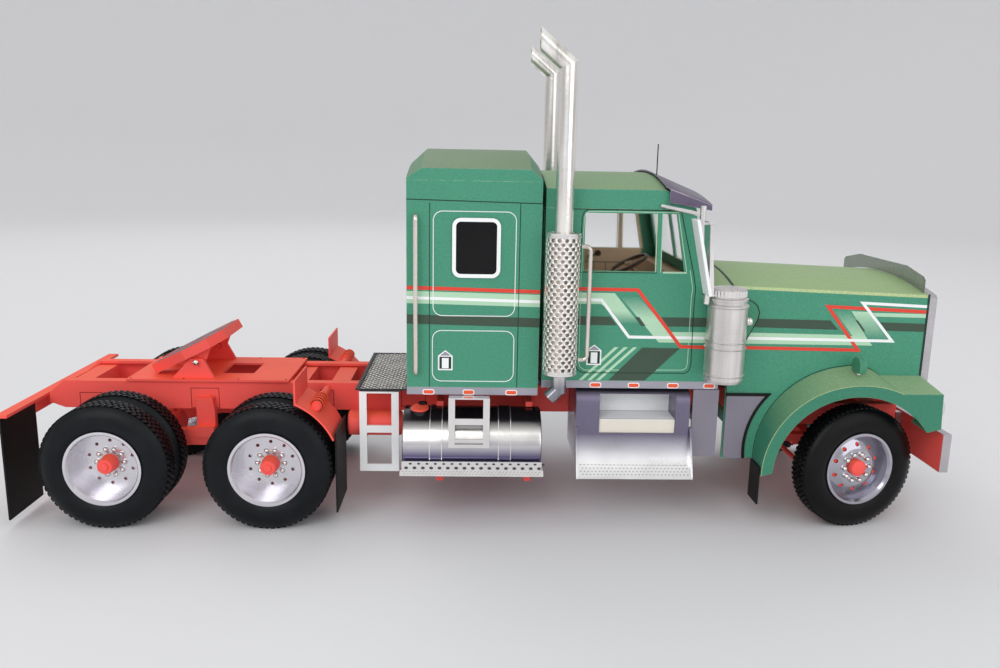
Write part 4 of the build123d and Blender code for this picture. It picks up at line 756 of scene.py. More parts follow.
class TRACTOR_OT_stage(PieceOperator, bpy.types.Operator):
    """Camera, lamps and the pale floor with its raised rim"""
    bl_idname = "tractor.stage"
    bl_label = "Build stage"

    def build(self, settings):
        look = settings.stage
        scene = bpy.context.scene
        scene.view_settings.view_transform = "Standard"
        forward = Vector((sin(look.yaw) * cos(look.pitch), cos(look.yaw) * cos(look.pitch), -sin(look.pitch)))
        right = Vector((cos(look.yaw), -sin(look.yaw), 0.0))
        up = right.cross(forward)
        across = cos(look.roll) * right + sin(look.roll) * up
        upward = cos(look.roll) * up - sin(look.roll) * right
        lens = bpy.data.cameras.new("camera")
        lens.lens, lens.sensor_width, lens.clip_start = look.focal, 36.0, 0.01
        scene.camera = new_object("camera", lens)
        scene.camera.matrix_world = (Matrix.Translation(look.camera_place)
                                     @ Matrix((across, upward, -forward)).transposed().to_4x4())
        for name, place, watts in (("key_lamp", (-0.5, -1.2, 0.8), look.key_watts),
                                   ("fill_lamp", (0.8, -1.0, 0.5), look.fill_watts),
                                   ("back_lamp", (-0.3, 0.9, 1.1), look.fill_watts)):
            lamp = bpy.data.lights.new(name, "AREA")
            lamp.size, lamp.energy = 0.9, watts
            made = new_object(name, lamp)
            made.location = place
            made.rotation_euler = (Vector((0.0, 0.0, 0.06)) - made.location).to_track_quat("-Z", "Y").to_euler()
        world = scene.world = bpy.data.worlds.new("room")
        world.use_nodes = True
        fill_inputs(world.node_tree, world.node_tree.nodes["Background"],
                    {"Color": (1.0, 1.0, 1.0, 1.0), "Strength": look.sky})
        mesh = bmesh.new()
        profile = [(FLOOR_R + FLOOR_BEND * sin(radians(a)), FLOOR_BEND - FLOOR_BEND * cos(radians(a)))
                   for a in range(0, 91, 10)] + [(FLOOR_R + FLOOR_BEND, FLOOR_TOP)]
        add_loft(mesh, [[(*point, h) for point in circle(0.0, 0.0, r, 64)] for r, h in profile], caps=False)
        mesh.faces.new([v for v in mesh.verts if v.co.z < 1e-6])
        new_object("floor", mesh_data("floor", mesh, ["floor paper"]))


class TRACTOR_OT_finishes(PieceOperator, bpy.types.Operator):
    """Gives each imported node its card, foil or film"""
    bl_idname = "tractor.finishes"
    bl_label = "Finish packed nodes"

    def build(self, settings):
        for finish, names in NODE_FINISH.items():
            for name in names:
                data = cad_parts[name].data
                data.materials.clear()
                data.materials.append(material(finish))


def add_tyre(mesh, place, face, rows, blocks, groove, skew):
    """A carcass with full shoulders and rows of tread blocks; face is its outer side."""
    middle, base = face - TYRE_W / 2, TYRE_R - groove
    profile = [(r, middle - h) for r, h in SIDEWALL] + [(base, middle - 3.2), (base, middle + 3.2)]
    add_lathe(mesh, profile + [(r, middle + h) for r, h in reversed(SIDEWALL)], 80, place)
    wide, step = 2 * TREAD_HALF / rows, 2 * pi / blocks
    for row in range(rows):
        low = middle - TREAD_HALF + wide * (row + TREAD_GAP / 2)
        high = low + wide * (1 - TREAD_GAP)
        lean = skew * step * (1 if row % 2 else -1)
        for k in range(blocks):
            start = (k + 0.5 * (row % 2)) * step
            rings = []
            for r, shrink in ((base - 0.3, 0.0), (TYRE_R, 0.04 * step)):
                first, last = start + shrink, start + step * BLOCK_PART - shrink
                rings.append([place(r * cos(a), r * sin(a), h) for a, h in (
                    (first - lean, low), (last - lean, low), (last + lean, high), (first + lean, high))])
            add_loft(mesh, rings)


class TRACTOR_OT_tyres(PieceOperator, bpy.types.Operator):
    """Tyres with full sidewalls and a block tread, in place of the plain ones"""
    bl_idname = "tractor.tyres"
    bl_label = "Build tyres"

    def build_side(self, settings, word, side):
        sizes = settings.tyres
        groove = sizes.groove / MM
        for axle, axle_x in REAR_AXLES:
            mesh = bmesh.new()
            for face in (REAR_FACE, REAR_FACE - TWIN_PITCH):
                add_tyre(mesh, wheel_place(axle_x, side), face, 4, sizes.rear_blocks, groove, 0.22)
            finish_piece(f"{axle}_tread_{word}", mesh, ["rear rubber"], f"{axle}_wheels_{word}",
                         [f"{axle}_tyres_{word}"])
        mesh = bmesh.new()
        add_tyre(mesh, wheel_place(FRONT_X, side), FRONT_FACE, 5, sizes.front_blocks, groove * 0.7, 0.08)
        finish_piece(f"front_tread_{word}", mesh, ["front rubber"], f"front_wheel_{word}",
                     [f"front_tyre_{word}"])


def add_perforated(mesh, place, columns, rows, pitch_u, pitch_v, hole, wrap=False):
    """A sheet of round holes in staggered rows. place maps (u, v) to the sheet; wrap joins its two sides."""
    cell = ((-0.5, -0.5), (0.0, -0.5), (0.5, -0.5), (0.5, 0.0), (0.5, 0.5), (0.0, 0.5), (-0.5, 0.5), (-0.5, 0.0))
    made = {}

    def point(u, v):
        u = u % (columns * pitch_u) if wrap else u
        key = (round(u, 4), round(v, 4))
        if key not in made:
            made[key] = vertex(mesh, place(u, v))
        return made[key]
    for row in range(rows):
        for column in range(columns):
            cu, cv = (column + (0.75 if row % 2 else 0.25)) * pitch_u, (row + 0.5) * pitch_v
            rim = [point(cu + a * pitch_u, cv + b * pitch_v) for a, b in cell]
            ring = [vertex(mesh, place(*spot)) for spot in
                    ((cu + hole * cos(a), cv + hole * sin(a)) for a in turns(16, 1.25 * pi))]
            for k in range(8):
                a, b = rim[k], rim[(k + 1) % 8]
                p, q, r = ring[2 * k], ring[2 * k + 1], ring[(2 * k + 2) % 16]
                for face in ((a, q, p), (a, b, q), (b, r, q)):
                    mesh.faces.new(face)


def thicken(piece, thickness):
    """Adds a modifier that gives an open sheet its thickness, half of it to each side."""
    made = piece.modifiers.new("thickness", "SOLIDIFY")
    made.thickness, made.offset = thickness * MM, 0.0


class TRACTOR_OT_guards(PieceOperator, bpy.types.Operator):
    """Perforated guards round the mufflers, with rolled end bands"""
    bl_idname = "tractor.guards"
    bl_label = "Build muffler guards"

    def build_side(self, settings, word, side):
        sizes = settings.guards
        columns, rows = sizes.guard_holes, sizes.guard_rows
        bottom, top = GUARD_Z
        z0, z1, radius = bottom + GUARD_BAND, top - GUARD_BAND, GUARD_R - 0.2
        centre = GUARD_X[word]

        def upright(u, v, h):
            return (centre + u, side * (GUARD_Y + v), h)
        mesh = bmesh.new()
        add_perforated(mesh, lambda u, v: upright(radius * cos(u / radius), radius * sin(u / radius), z0 + v),
                       columns, rows, 2 * pi * radius / columns, (z1 - z0) / rows, sizes.guard_hole / MM, True)
        thicken(finish_piece(f"guard_sheet_{word}", mesh, ["wrinkled foil"]), 0.35)
        mesh = bmesh.new()
        for low, high in ((bottom, z0 + 0.1), (z1 - 0.1, top)):
            add_lathe(mesh, [(GUARD_R - 0.5, low), (GUARD_R - 0.1, low), (GUARD_R + 0.2, low + 0.25),
                             (GUARD_R + 0.2, low + 0.75), (GUARD_R, low + 1.0), (GUARD_R + 0.05, high),
                             (GUARD_R - 0.5, high)], 48, upright)
        for z in (bottom + 0.1, top - 0.9):
            add_ring(mesh, upright, (3.0, GUARD_R - 0.3), (z, z + 0.7), 48)
        for z in (bottom + 4, top - 8):
            add_box(mesh, (centre - 2, centre + 2), (CAB_Y + 0.2, GUARD_Y - GUARD_R + 0.4), (z, z + 2), 0, side)
        add_ring(mesh, upright, (4.3, 4.5), (z0 - 0.8, z1 + 0.8), 40, 1)
        finish_piece(f"guard_bands_{word}", mesh, ["silver foil", "liner foil"], replaces=["muffler_guards"])


class TRACTOR_OT_deck(PieceOperator, bpy.types.Operator):
    """Deck behind the sleeper, punched with staggered round holes"""
    bl_idname = "tractor.deck"
    bl_label = "Build deck"

    def build(self, settings):
        pitch = settings.guards.deck_pitch / MM
        (x0, x1), y, edge, z = DECK_X, DECK_Y, DECK_EDGE, DECK_Z[1] - 0.2
        long, wide = x1 - x0 - 2 * edge, 2 * y - 2 * edge
        columns, rows = int(long / pitch), int(wide / (0.54 * pitch))
        pitch_u = long / (columns + 0.5)
        mesh = bmesh.new()
        add_perforated(mesh, lambda u, v: (x0 + edge + 0.25 * pitch_u + u, -y + edge + v, z), columns, rows,
                       pitch_u, wide / rows, settings.guards.deck_hole / MM)
        thicken(finish_piece("deck_sheet", mesh, ["wrinkled foil"], replaces=["deck_plate"]),
                0.12)
        mesh = bmesh.new()
        low, high = z - 0.25, z + 0.21
        inner = (-y + edge, y - edge)
        for xs, ys in (((x0, x1), (-y, -y + edge + 0.3)), ((x0, x1), (y - edge - 0.3, y)),
                       ((x0, x0 + edge + 0.7), inner), ((x1 - edge - 0.7, x1), inner)):
            add_box(mesh, xs, ys, (low, high))
        for side in (-1, 1):
            add_box(mesh, (x0 + 0.2, x1 - 0.2), (14.4, 17.2), (DECK_Z[0], low + 0.05), 0, side)
        # Painted shade: a dark red sheet under the holes stands in for the shaded frame below the deck
        add_box(mesh, (x0 + edge, x1 - edge), inner, (z - 0.32, z - 0.2), 1)
        finish_piece("deck_frame", mesh, ["deck card", "under print"])


class TRACTOR_OT_wheel_fittings(PieceOperator, bpy.types.Operator):
    """Red hubs and caps, chrome nut covers and red hand holes"""
    bl_idname = "tractor.wheel_fittings"
    bl_label = "Fit wheels"

    def build_side(self, settings, word, side):
        for axle, axle_x in REAR_AXLES:
            hub = moved(wheel_place(axle_x, side), 0.0, 0.0, DISC_Y)
            mesh = bmesh.new()
            add_turned(mesh, [(3.2, 0.5), (3.02, 2.4), (2.98, 2.5), (2.72, 5.3), (2.4, 5.75), (1.35, 5.8),
                              (1.3, 6.35), (1.1, 6.5)], 32, hub, 0)
            for spot in circle(0.0, 0.0, 4.7, NUTS):
                add_dome(mesh, moved(hub, *spot), 0.92, 1.25, NUT_SIDES, 1)
            finish_piece(f"{axle}_hub_{word}", mesh, ["red card", "chrome"], f"{axle}_wheels_{word}")
        hub = moved(wheel_place(FRONT_X, side), 0.0, 0.0, HUB_Y)
        mesh = bmesh.new()
        add_turned(mesh, [(3.0, -0.05), (3.0, 0.9), (2.85, 1.75), (2.2, 2.15), (1.45, 2.35), (0.6, 2.4)], 32, hub, 0)
        for a in turns(NUTS):
            add_dome(mesh, moved(hub, 4.95 * cos(a), 4.95 * sin(a)), 0.95, 1.5, NUT_SIDES, 1)
            a += pi / NUTS
            add_turned(mesh, [(0.73, -1.9), (0.73, -0.85), (0.5, -0.7)], NUT_SIDES,
                       moved(hub, 8.3 * cos(a), 8.3 * sin(a)), 2)
        finish_piece(f"front_hub_{word}", mesh, ["red card", "chrome", "stripe print"], f"front_wheel_{word}")


class TRACTOR_OT_coupling(PieceOperator, bpy.types.Operator):
    """Dark printed cover of the fifth wheel with two red slots, pin heads and the rails' printed outlines"""
    bl_idname = "tractor.coupling"
    bl_label = "Print coupling"

    def build(self, settings):
        a = radians(WHEEL_TILT)

        def tipped(u, v, h):
            return (PIN_X + u * cos(a) - (6.2 + h) * sin(a), v, PIN_Z + u * sin(a) + (6.2 + h) * cos(a))
        mesh = bmesh.new()
        for side in (-1, 1):
            half = [(12.4, 0.0), (12.4, 10.4), (7.7, 16.8), (-2.7, 16.8), (-16.8, 10.4), (-16.8, 4.6), (-8.0, 1.4),
                    (-1.6, 2.0), (-0.5, 2.3), (1.6, 1.2), (2.0, 0.0)]
            add_prints(mesh, tipped, self.lift, [
                (0, 1, [(u, side * v) for u, v in half]),
                (1, 2.2, rounded(3.4, side * 8.6 - 1.2, 10.2, side * 8.6 + 1.2, 1.1))])
        finish_piece("coupling_cover", mesh, ["grease print", "red card"], "fifth_wheel_plate")
        mesh = bmesh.new()
        for side in (-1, 1):
            add_dome(mesh, moved(side_place(16.4, side), PIN_X, PIN_Z), 1.05, 0.75, 18, 0)
            add_prints(mesh, side_place(RAIL_Y, side), self.lift, [
                (1, 1.5, corners(*box), self.line * 0.7, True) for box in (
                    (-107.4, 34.8, -97.2, 42.3), (-147.9, 35.4, -139.9, 40.2), (-60.0, 36.0, -55.0, 42.0),
                    (-30.0, 36.0, -21.0, 43.0))])
            for x in (-72.6, -90.0, -110.0, -129.2):
                add_dome(mesh, lambda u, v, h: (x + u, side * 16.9 + v, 45.7 + h), 0.4, 0.25, 10, 1)
        finish_piece("coupling_fittings", mesh, ["chrome", "rail print"])


class TRACTOR_OT_tank_fittings(PieceOperator, bpy.types.Operator):
    """Straps, red filler, the ladder and the perforated shelf of each tank"""
    bl_idname = "tractor.tank_fittings"
    bl_label = "Fit tanks"

    def build_side(self, settings, word, side):
        y, (x0, x1) = TANK_Y + TANK_R + 0.5, TANK_X
        lean, clock = radians(9), radians(14)

        def round_tank(u, v, h):
            return (h, side * (TANK_Y + u), TANK_Z + v)

        def lip(u, v, h):
            return (u, side * (y + 0.6 + 1.3 * v + h * 0.73), 21.9 - 1.4 * v + h * 0.68)

        def neck(u, v, h):
            return (u - 21.9, side * (TANK_Y + TANK_R * sin(clock) + v * cos(lean) + h * sin(lean)),
                    TANK_Z + TANK_R * cos(clock) - 0.2 - v * sin(lean) + h * cos(lean))
        mesh = bmesh.new()
        for x in (-16.0, 7.7):
            add_ring(mesh, round_tank, (TANK_R + 0.05, TANK_R + 0.3), (x - 2.1, x + 2.1), 72, 1)
            for edge in (x - 2.1, x + 2.1):
                add_ring(mesh, round_tank, (TANK_R + 0.1, TANK_R + 0.5), (edge - 0.14, edge + 0.14), 72)
        for xs in ((-11.6, -9.4), (0.2, 2.4)):
            add_box(mesh, xs, (y, y + 0.6), (30.0, 47.6), 0, side)
        for zs in ((38.2, 40.4), (30.0, 31.2), (31.9, 33.0)):
            add_box(mesh, (-9.4, 0.2), (y, y + 0.55), zs, 0, side)
        add_box(mesh, (-11.5, 2.3), (42.3, y), (47.0, 47.5), 0, side)
        shelf = side_place(y, side)
        add_fill(mesh, shelf, corners(x0 + 0.6, 21.4, x1 - 0.6, 25.0), (0.0, 0.6))
        add_along(mesh, ((x0, y, 0.0), (x1, y, 0.0)), side, (
            (0, -2.4, 21.6), (0, 0.6, 21.9), (0, 1.9, 20.5), (0, 1.9, 20.2), (0, -2.4, 21.2)), 0)
        for k in range(17):
            for dx, z, wide, high in ((0.0, 22.7, 0.6875, 0.5225), (1.43, 24.2, 0.54, 0.36)):
                spot = moved(shelf, x0 + 2.2 + k * 2.86 + dx, z)
                add_fill(mesh, spot, [(wide * cos(a), high * sin(a)) for a in turns(12)], (0.5, 0.6 + self.lift), 3)
        for row, part in enumerate((0.3, 0.72)):
            for k in range(39 - row):
                add_fill(mesh, moved(lip, x0 + 0.9 + k * 1.24 + 0.62 * row, part),
                         [(-0.42, 0.1), (-0.12, 0.1), (0.42, -0.1), (0.12, -0.1)], (-0.1, self.lift), 4)
        add_turned(mesh, [(3.5, -0.6), (3.5, 0.75), (3.3, 0.8)], 32, neck, 1)
        add_turned(mesh, [(3.15, 0.5), (3.15, 1.1), (2.9, 1.3)], 32, neck, 2)
        finish_piece(f"tank_fittings_{word}", mesh, ["silver foil", "tank foil", "red card", "dot print",
                                                     "mark print"], replaces=["tank_steps"])


class TRACTOR_OT_steps(PieceOperator, bpy.types.Operator):
    """White and cream faces of the steps, the dotted edge of the apron and the cover's black outline"""
    bl_idname = "tractor.steps"
    bl_label = "Face steps"

    def build_side(self, settings, word, side):
        lift = self.lift
        (back, inner, outer), (bottom, tread, top) = STEP_Y, STEP_Z
        mesh = bmesh.new()
        above = (tread + lift, tread + 2 * lift)
        for slot, ys, zs in (
                (0, (inner, outer), (bottom - 0.1, tread + lift)), (0, (back, back + lift), (tread, top)),
                (0, (back, inner), (tread, tread + lift)), (1, (back + 0.15, back + 0.4), above),
                (1, (outer - 0.3, outer), above), (1, (back - 0.05, back - 0.05 + lift), (47.6, top)),
                (2, (outer, outer + lift), (bottom, tread - 0.1))):
            add_box(mesh, STEP_X, ys, zs, slot, side)
        apron = arc_points(*APRON_ARC, 100)
        for row, part in enumerate((70, 78, 86, 94)):
            (y0, z0), (y1, z1) = apron[part - 2], apron[part + 2]
            way = Vector((y1 - y0, z1 - z0)).normalized()
            wide, high = (0.26, 0.2) if row else (0.45, 0.13)
            for k in range(29):
                x = 34.2 + k * 1.3 + 0.65 * (row % 2)
                add_fill(mesh, lambda u, v, h: (x + u, side * ((y0 + y1) / 2 + v * way.x - h * way.y),
                                                (z0 + z1) / 2 + v * way.y + h * way.x),
                         corners(-wide, -high, wide, high), (-0.15, lift), 3)
        finish_piece(f"step_faces_{word}", mesh, ["white card", "edge print", "cream card", "emboss print"])
        mesh = bmesh.new()
        add_ribbon(mesh, side_place(HOOD_Y + SEAT + 0.4, side), [(86.2, 47.0), (100.6, 47.0)]
                   + arc_points(*COVER_EDGE), 1.1, (-0.38, 0.06))
        finish_piece(f"cover_outline_{word}", mesh, ["black print"])


class TRACTOR_OT_arms(PieceOperator, bpy.types.Operator):
    """Rings round the arms that carry the quarter fenders"""
    bl_idname = "tractor.arms"
    bl_label = "Ring fender arms"

    def build_side(self, settings, word, side):
        mesh = bmesh.new()
        arm = moved(side_place(0.0, side), ARM_X, ARM_Z)
        for y in (29.6, 32.4, 35.2, 38.0):
            add_ring(mesh, arm, (1.3, 2.3), (y, y + 1.0), 28)
            add_ring(mesh, arm, (1.3, 2.0), (y + 1.0, y + 1.25), 28, 1)
        finish_piece(f"arm_rings_{word}", mesh, ["ring card", "rail print"])


class TRACTOR_OT_mirrors(PieceOperator, bpy.types.Operator):
    """White card over the mirrors' backs"""
    bl_idname = "tractor.mirrors"
    bl_label = "Cover mirrors"

    def build_side(self, settings, word, side):
        mesh = bmesh.new()
        add_fill(mesh, side_place(45.5, side), [(67.5, 109.1), (68.5, 109.3), (73.9, 84.8), (72.9, 84.6)], (0.0, 7.6))
        finish_piece(f"mirror_cover_{word}", mesh, ["white card"])


class TRACTOR_OT_front(PieceOperator, bpy.types.Operator):
    """Red bumper back, lamp lenses, green hoods of the fenders' signal lamps, pale lines along the fenders' edges and
    printed lines
    """
    bl_idname = "tractor.front"
    bl_label = "Fit front"

    def build(self, settings):
        mesh = bmesh.new()
        add_box(mesh, (BUMPER_X - 0.06, BUMPER_X + 0.02), (-45.8, 45.8), BUMPER_Z)
        finish_piece("bumper_back", mesh, ["red card"])
        way = Vector((10.25, 3.5, 0.0)).normalized()
        across = Vector((-way.y, way.x, 0.0))
        centre = Vector((157.45, 40.875, 44.4))
        for word, side in SIDES:
            def lens(u, v, h):
                x, y, z = centre + way * h + across * u
                return (x, side * y, z + v)
            mesh = bmesh.new()
            add_turned(mesh, [(3.15, 1.85), (3.15, 2.05), (2.6, 2.35), (1.5, 2.55), (0.4, 2.6)], 32, lens)
            add_loft(mesh, [[(x, side * (HOOD_Y + 5.5 + 3.42 * cos(radians(a))), 58.9 + 3.42 * sin(radians(a)))
                             for a in range(-38, 219, 12)] for x in (ARCH_X - 1.12, ARCH_X + 1.12)], 1)
            edge = [(x, side * FENDER_Y, z) for x, z in fender_arc(OUTER_ARC)]
            for a, b in zip(edge, edge[1:]):
                add_bar(mesh, a, b, 0.11, 6, 2)
            seam = [(x - 0.25, z + 0.25) for x, z in fender_arc(INNER_ARC)]
            add_prints(mesh, side_place(HOOD_Y, side), self.lift, [(3, 1, seam, self.line * 0.8)])
            finish_piece(f"front_fittings_{word}", mesh, ["lamp glass", "lamp green", "core print", "line print"])


class TRACTOR_OT_cleaners(PieceOperator, bpy.types.Operator):
    """Knurled cap of each air cleaner, its green teardrop plate and the knob on it"""
    bl_idname = "tractor.cleaners"
    bl_label = "Fit air cleaners"

    def build_side(self, settings, word, side):
        place = side_place(HOOD_Y, side)
        drop = [(84.0, 81.6), (88.2, 81.6), (92.4, 80.7), (94.6, 79.0), (95.5, 76.6), (94.9, 74.0), (91.5, 66.9),
                (89.0, 66.2), (84.0, 66.2)]
        mesh = bmesh.new()
        add_fill(mesh, place, drop, (0.2, 1.32))
        add_ribbon(mesh, place, drop, 0.3, (1.2, 1.38), 1)
        add_dome(mesh, moved(place, 92.0, 73.4, 1.3), 1.5, 1.3, 20, 2)
        teeth = [(CLEANER_R - (0.51 if k % 2 else 0.75), a) for k, a in enumerate(turns(64))]
        add_loft(mesh, [[(CLEANER_X + r * cos(a), side * (CLEANER_Y + r * sin(a)), z) for r, a in teeth]
                        for z in (84.2, 86.2)], 3)
        finish_piece(f"cleaner_fittings_{word}", mesh, ["lamp green", "black print", "chrome", "silver foil"])


class TRACTOR_OT_interior(PieceOperator, bpy.types.Operator):
    """Door trims with their cranks, a dark steering wheel and the aerial on the roof"""
    bl_idname = "tractor.interior"
    bl_label = "Fit interior"

    def build_side(self, settings, word, side):
        def place(u, v, h):
            return (u, side * (CAB_Y - 1.0 - h), v)
        mesh = bmesh.new()
        for outline in ([(31.5, 73.0), (66.0, 73.0), (68.2, 90.7), (31.5, 90.7)],
                        [(57.9, 90.7), (59.9, 90.7), (59.3, 109.8), (57.7, 109.8)],
                        [(67.7, 90.7), (68.7, 90.7), (65.2, 109.8), (64.2, 109.8)]):
            add_fill(mesh, place, outline, (0.02, 0.3))
        add_ribbon(mesh, place, [(31.7, 84.6), (66.9, 84.6)], self.line, (0.28, 0.3 + self.lift), 1)
        for x in (38.0, 43.0, 48.0, 53.0):
            add_ribbon(mesh, place, [(x, 73.2), (x, 84.5)], self.line * 0.8, (0.28, 0.3 + self.lift), 1)
        add_fill(mesh, place, circle(49.5, 88.4, 1.3), (0.28, 0.7), 2)
        add_ribbon(mesh, place, [(49.5, 88.4), (46.0, 86.9)], 0.7, (0.28, 0.8), 2)
        add_fill(mesh, place, circle(45.8, 86.8, 0.75), (0.28, 0.9), 2)
        finish_piece(f"door_trim_{word}", mesh, ["door trim", "line print", "wheel rim"])

    def build(self, settings):
        tilt = radians(-27)

        def column(u, v, h):
            return (59.0 + u * cos(tilt) + h * sin(tilt), 17.5 + v, 86.5 - u * sin(tilt) + h * cos(tilt))
        mesh = bmesh.new()
        add_lathe(mesh, circle(8.0, 0.0, 0.72, 10), 48, column)
        finish_piece("steering_rim", mesh, ["wheel rim"])
        mesh = bmesh.new()
        for z0, z1, r, count in ((121.2, 133.3, 0.2, 8), (121.0, 122.2, 0.45, 10)):
            add_bar(mesh, (60.6, -20.0, z0), (60.6, -20.0, z1), r, count)
        finish_piece("aerial", mesh, ["black print"])


PRINTS = ["line print", "white print", "stripe print", "pale print", "dark print", "roof print"]
LINE, RIM, STRIPE, PALE, DARK, ROOF = range(6)


def rake_x(z):
    """X of the cab's raked front edge at this height."""
    return CAB_RAKE[1] + (CAB_RAKE[0] - CAB_RAKE[1]) * (z - CAB_Z) / (CAB_SEAM - CAB_Z)


def add_latch(mesh, place, u0, v0, u1, v1, peak, lift):
    """A recessed door latch with a pointed cover: pale rim, dark jambs, grey roof and a white flap."""
    middle = (u0 + u1) / 2
    for outline, high, slot in (
            ([(u0, v0), (u1, v0), (u1, v1), (middle, peak), (u0, v1)], 0.05, RIM),
            (corners(u0 + 0.5, v0 + 0.5, u1 - 0.5, v1 - 0.3), 0.09, LINE),
            ([(u0 + 0.7, v1 + 0.1), (u1 - 0.7, v1 + 0.1), (middle, peak - 0.45)], 0.09, ROOF),
            (corners(middle - 1.15, v0 + 0.75, middle + 1.15, v1 - 0.7), 0.35, RIM)):
        add_fill(mesh, place, outline, (SUNK, lift + high), slot)


class TRACTOR_OT_sleeper_prints(PieceOperator, bpy.types.Operator):
    """Seams, outlines, bands and latch on the sleeper's sides"""
    bl_idname = "tractor.sleeper_prints"
    bl_label = "Print sleeper"

    def build_side(self, settings, word, side):
        line, rim = self.line, self.rim
        x0, x1 = SLEEPER_X
        place = side_place(SLEEPER_Y, side)
        mesh = bmesh.new()
        add_prints(mesh, place, self.lift, [
            (PALE, 1, [(x0, 79.3), (x1, 78.5), (x1, 82.7), (x0, 83.5)]),
            (DARK, 1, [(x0, 72.3), (x1, 71.5), (x1, 74.7), (x0, 75.5)]),
            (STRIPE, 1.5, [(x0, 84.0), (x1, 83.1), (x1, 84.3), (x0, 85.2)]),
            (RIM, 1.5, [(x0, 80.7), (x1, 79.8), (x1, 80.8), (x0, 81.7)]),
            (LINE, 2, [(x0, 113.8), (x1, 113.0)], line),
            (LINE, 1.8, [(-18.3, SLEEPER_Z), (-18.3, 112.9)], line * 0.8),
            (LINE, 1.8, [(11.6, SLEEPER_Z), (11.6, 112.9)], line * 0.8),
            (RIM, 2.2, rounded(-17.1, 75.2, 10.3, 110.1, 3.0), rim * 0.6, True),
            (RIM, 2.2, rounded(-17.3, 52.5, 10.3, 70.1, 3.0), rim * 0.6, True)])
        add_latch(mesh, place, -15.4, 56.3, -10.4, 61.3, 63.3, self.lift)
        add_ribbon(mesh, place, rounded(-10.2, 88.8, 4.6, 107.4, 2.2), 1.25, (0.36, 0.62), RIM, True)
        finish_piece(f"sleeper_prints_{word}", mesh, PRINTS)


class TRACTOR_OT_cab_prints(PieceOperator, bpy.types.Operator):
    """Door outline, window surround, bands and stripes on the cab's sides"""
    bl_idname = "tractor.cab_prints"
    bl_label = "Print cab"

    def build_side(self, settings, word, side):
        line, rim, x0 = self.line, self.rim, CAB_X
        seam = CAB_SEAM - 0.2
        place = side_place(CAB_Y, side)
        mesh = bmesh.new()
        add_prints(mesh, place, self.lift, [
            (PALE, 1, [(x0, 79.5), (39.7, 79.5), (43.6, 77.2), (49.5, 77.2), (44.3, 83.3), (x0, 83.5)]),
            (DARK, 1, [(x0, 72.2), (45.5, 72.2), (43.1, 75.2), (x0, 75.3)]),
            (DARK, 1.3, [(53.8, 72.1), (55.4, 72.1), (53.0, 75.2), (51.5, 75.2)]),
            (DARK, 1, [(63.0, 72.0), (rake_x(72.0) - 0.1, 72.0), (rake_x(75.2) - 0.1, 75.2), (60.6, 75.2)]),
            (PALE, 1, [(53.0, 74.5), (60.2, 66.4), (rake_x(66.4) - 0.1, 66.4), (rake_x(70.1) - 0.1, 70.1),
                       (63.2, 70.1), (59.7, 74.5)]),
            (STRIPE, 1.6, [(x0, 84.7), (52.2, 84.5), (67.8, 65.0), (rake_x(64.8) - 0.2, 64.8)], 1.15),
            (RIM, 1.5, [(x0, 81.0), (39.9, 80.9), (49.8, 68.2), (rake_x(68.1) - 0.2, 68.1)], 1.0),
            *((PALE, 1, [(low, 52.8), (low + 1.35, 52.8), (high + 1.35, 64.6), (high, 64.6)])
              for low, high in ((33.1, 45.1), (36.1, 48.3), (39.1, 51.5))),
            (PALE, 1.2, [(32.6, 90.0), (32.9, 58.8), (33.5, 57.3), (34.9, 56.4), (69.0, 56.7), (70.2, 57.4),
                         (70.6, 59.0), (70.5, 82.0), (70.8, 85.2), (69.5, 91.4)], rim * 0.5),
            (DARK, 1.4, [(43.4, 52.8), (56.0, 52.8), (67.7, 64.4), (54.6, 64.5)]),
            (LINE, 1.8, [(31.6, 90.4), (31.9, 58.2), (32.6, 56.4), (34.4, 55.4), (69.9, 55.6), (71.3, 56.6),
                         (71.8, 58.6), (71.6, 79.0), (71.8, 85.2), (70.8, 90.3), (65.3, 111.4)], line),
            (LINE, 2.1, [(31.9, 90.4), (32.3, 108.6), (32.8, 110.4), (34.3, 111.3), (64.9, 111.3)], line),
            (PALE, 2, [(32.7, 90.4), (33.0, 108.4), (33.4, 109.9), (34.6, 110.7), (64.6, 110.7)], rim * 0.5),
            (PALE, 2, [(60.3, 90.55), (68.4, 90.55)], rim * 1.3),
            *((PALE, 2, [(low, z), (high, 110.3)], rim * 0.6)
              for low, z, high in ((57.7, 90.6, 57.4), (59.5, 90.6, 59.2), (68.4, 90.7, 64.5))),
            (LINE, 2, [(33.1, 90.35), (58.4, 90.35)], line),
            (LINE, 2, [(29.0, seam), (70.6, seam)], line)])
        add_latch(mesh, place, 35.5, 58.2, 40.6, 63.4, 65.4, self.lift * 1.8)
        finish_piece(f"cab_prints_{word}", mesh, PRINTS)


def hood_point(x, y):
    """The place on the crowned top of the hood that is y from the middle."""
    part = (x - HOOD_X[0]) / (HOOD_X[1] - HOOD_X[0])
    shoulder, crown = (a + (b - a) * part for a, b in zip(HOOD_REAR, HOOD_NOSE))
    rise = crown - shoulder
    bend = (HOOD_FOLD * HOOD_FOLD + rise * rise) / (2 * rise)
    return x, y, crown - bend + (bend * bend - y * y) ** 0.5


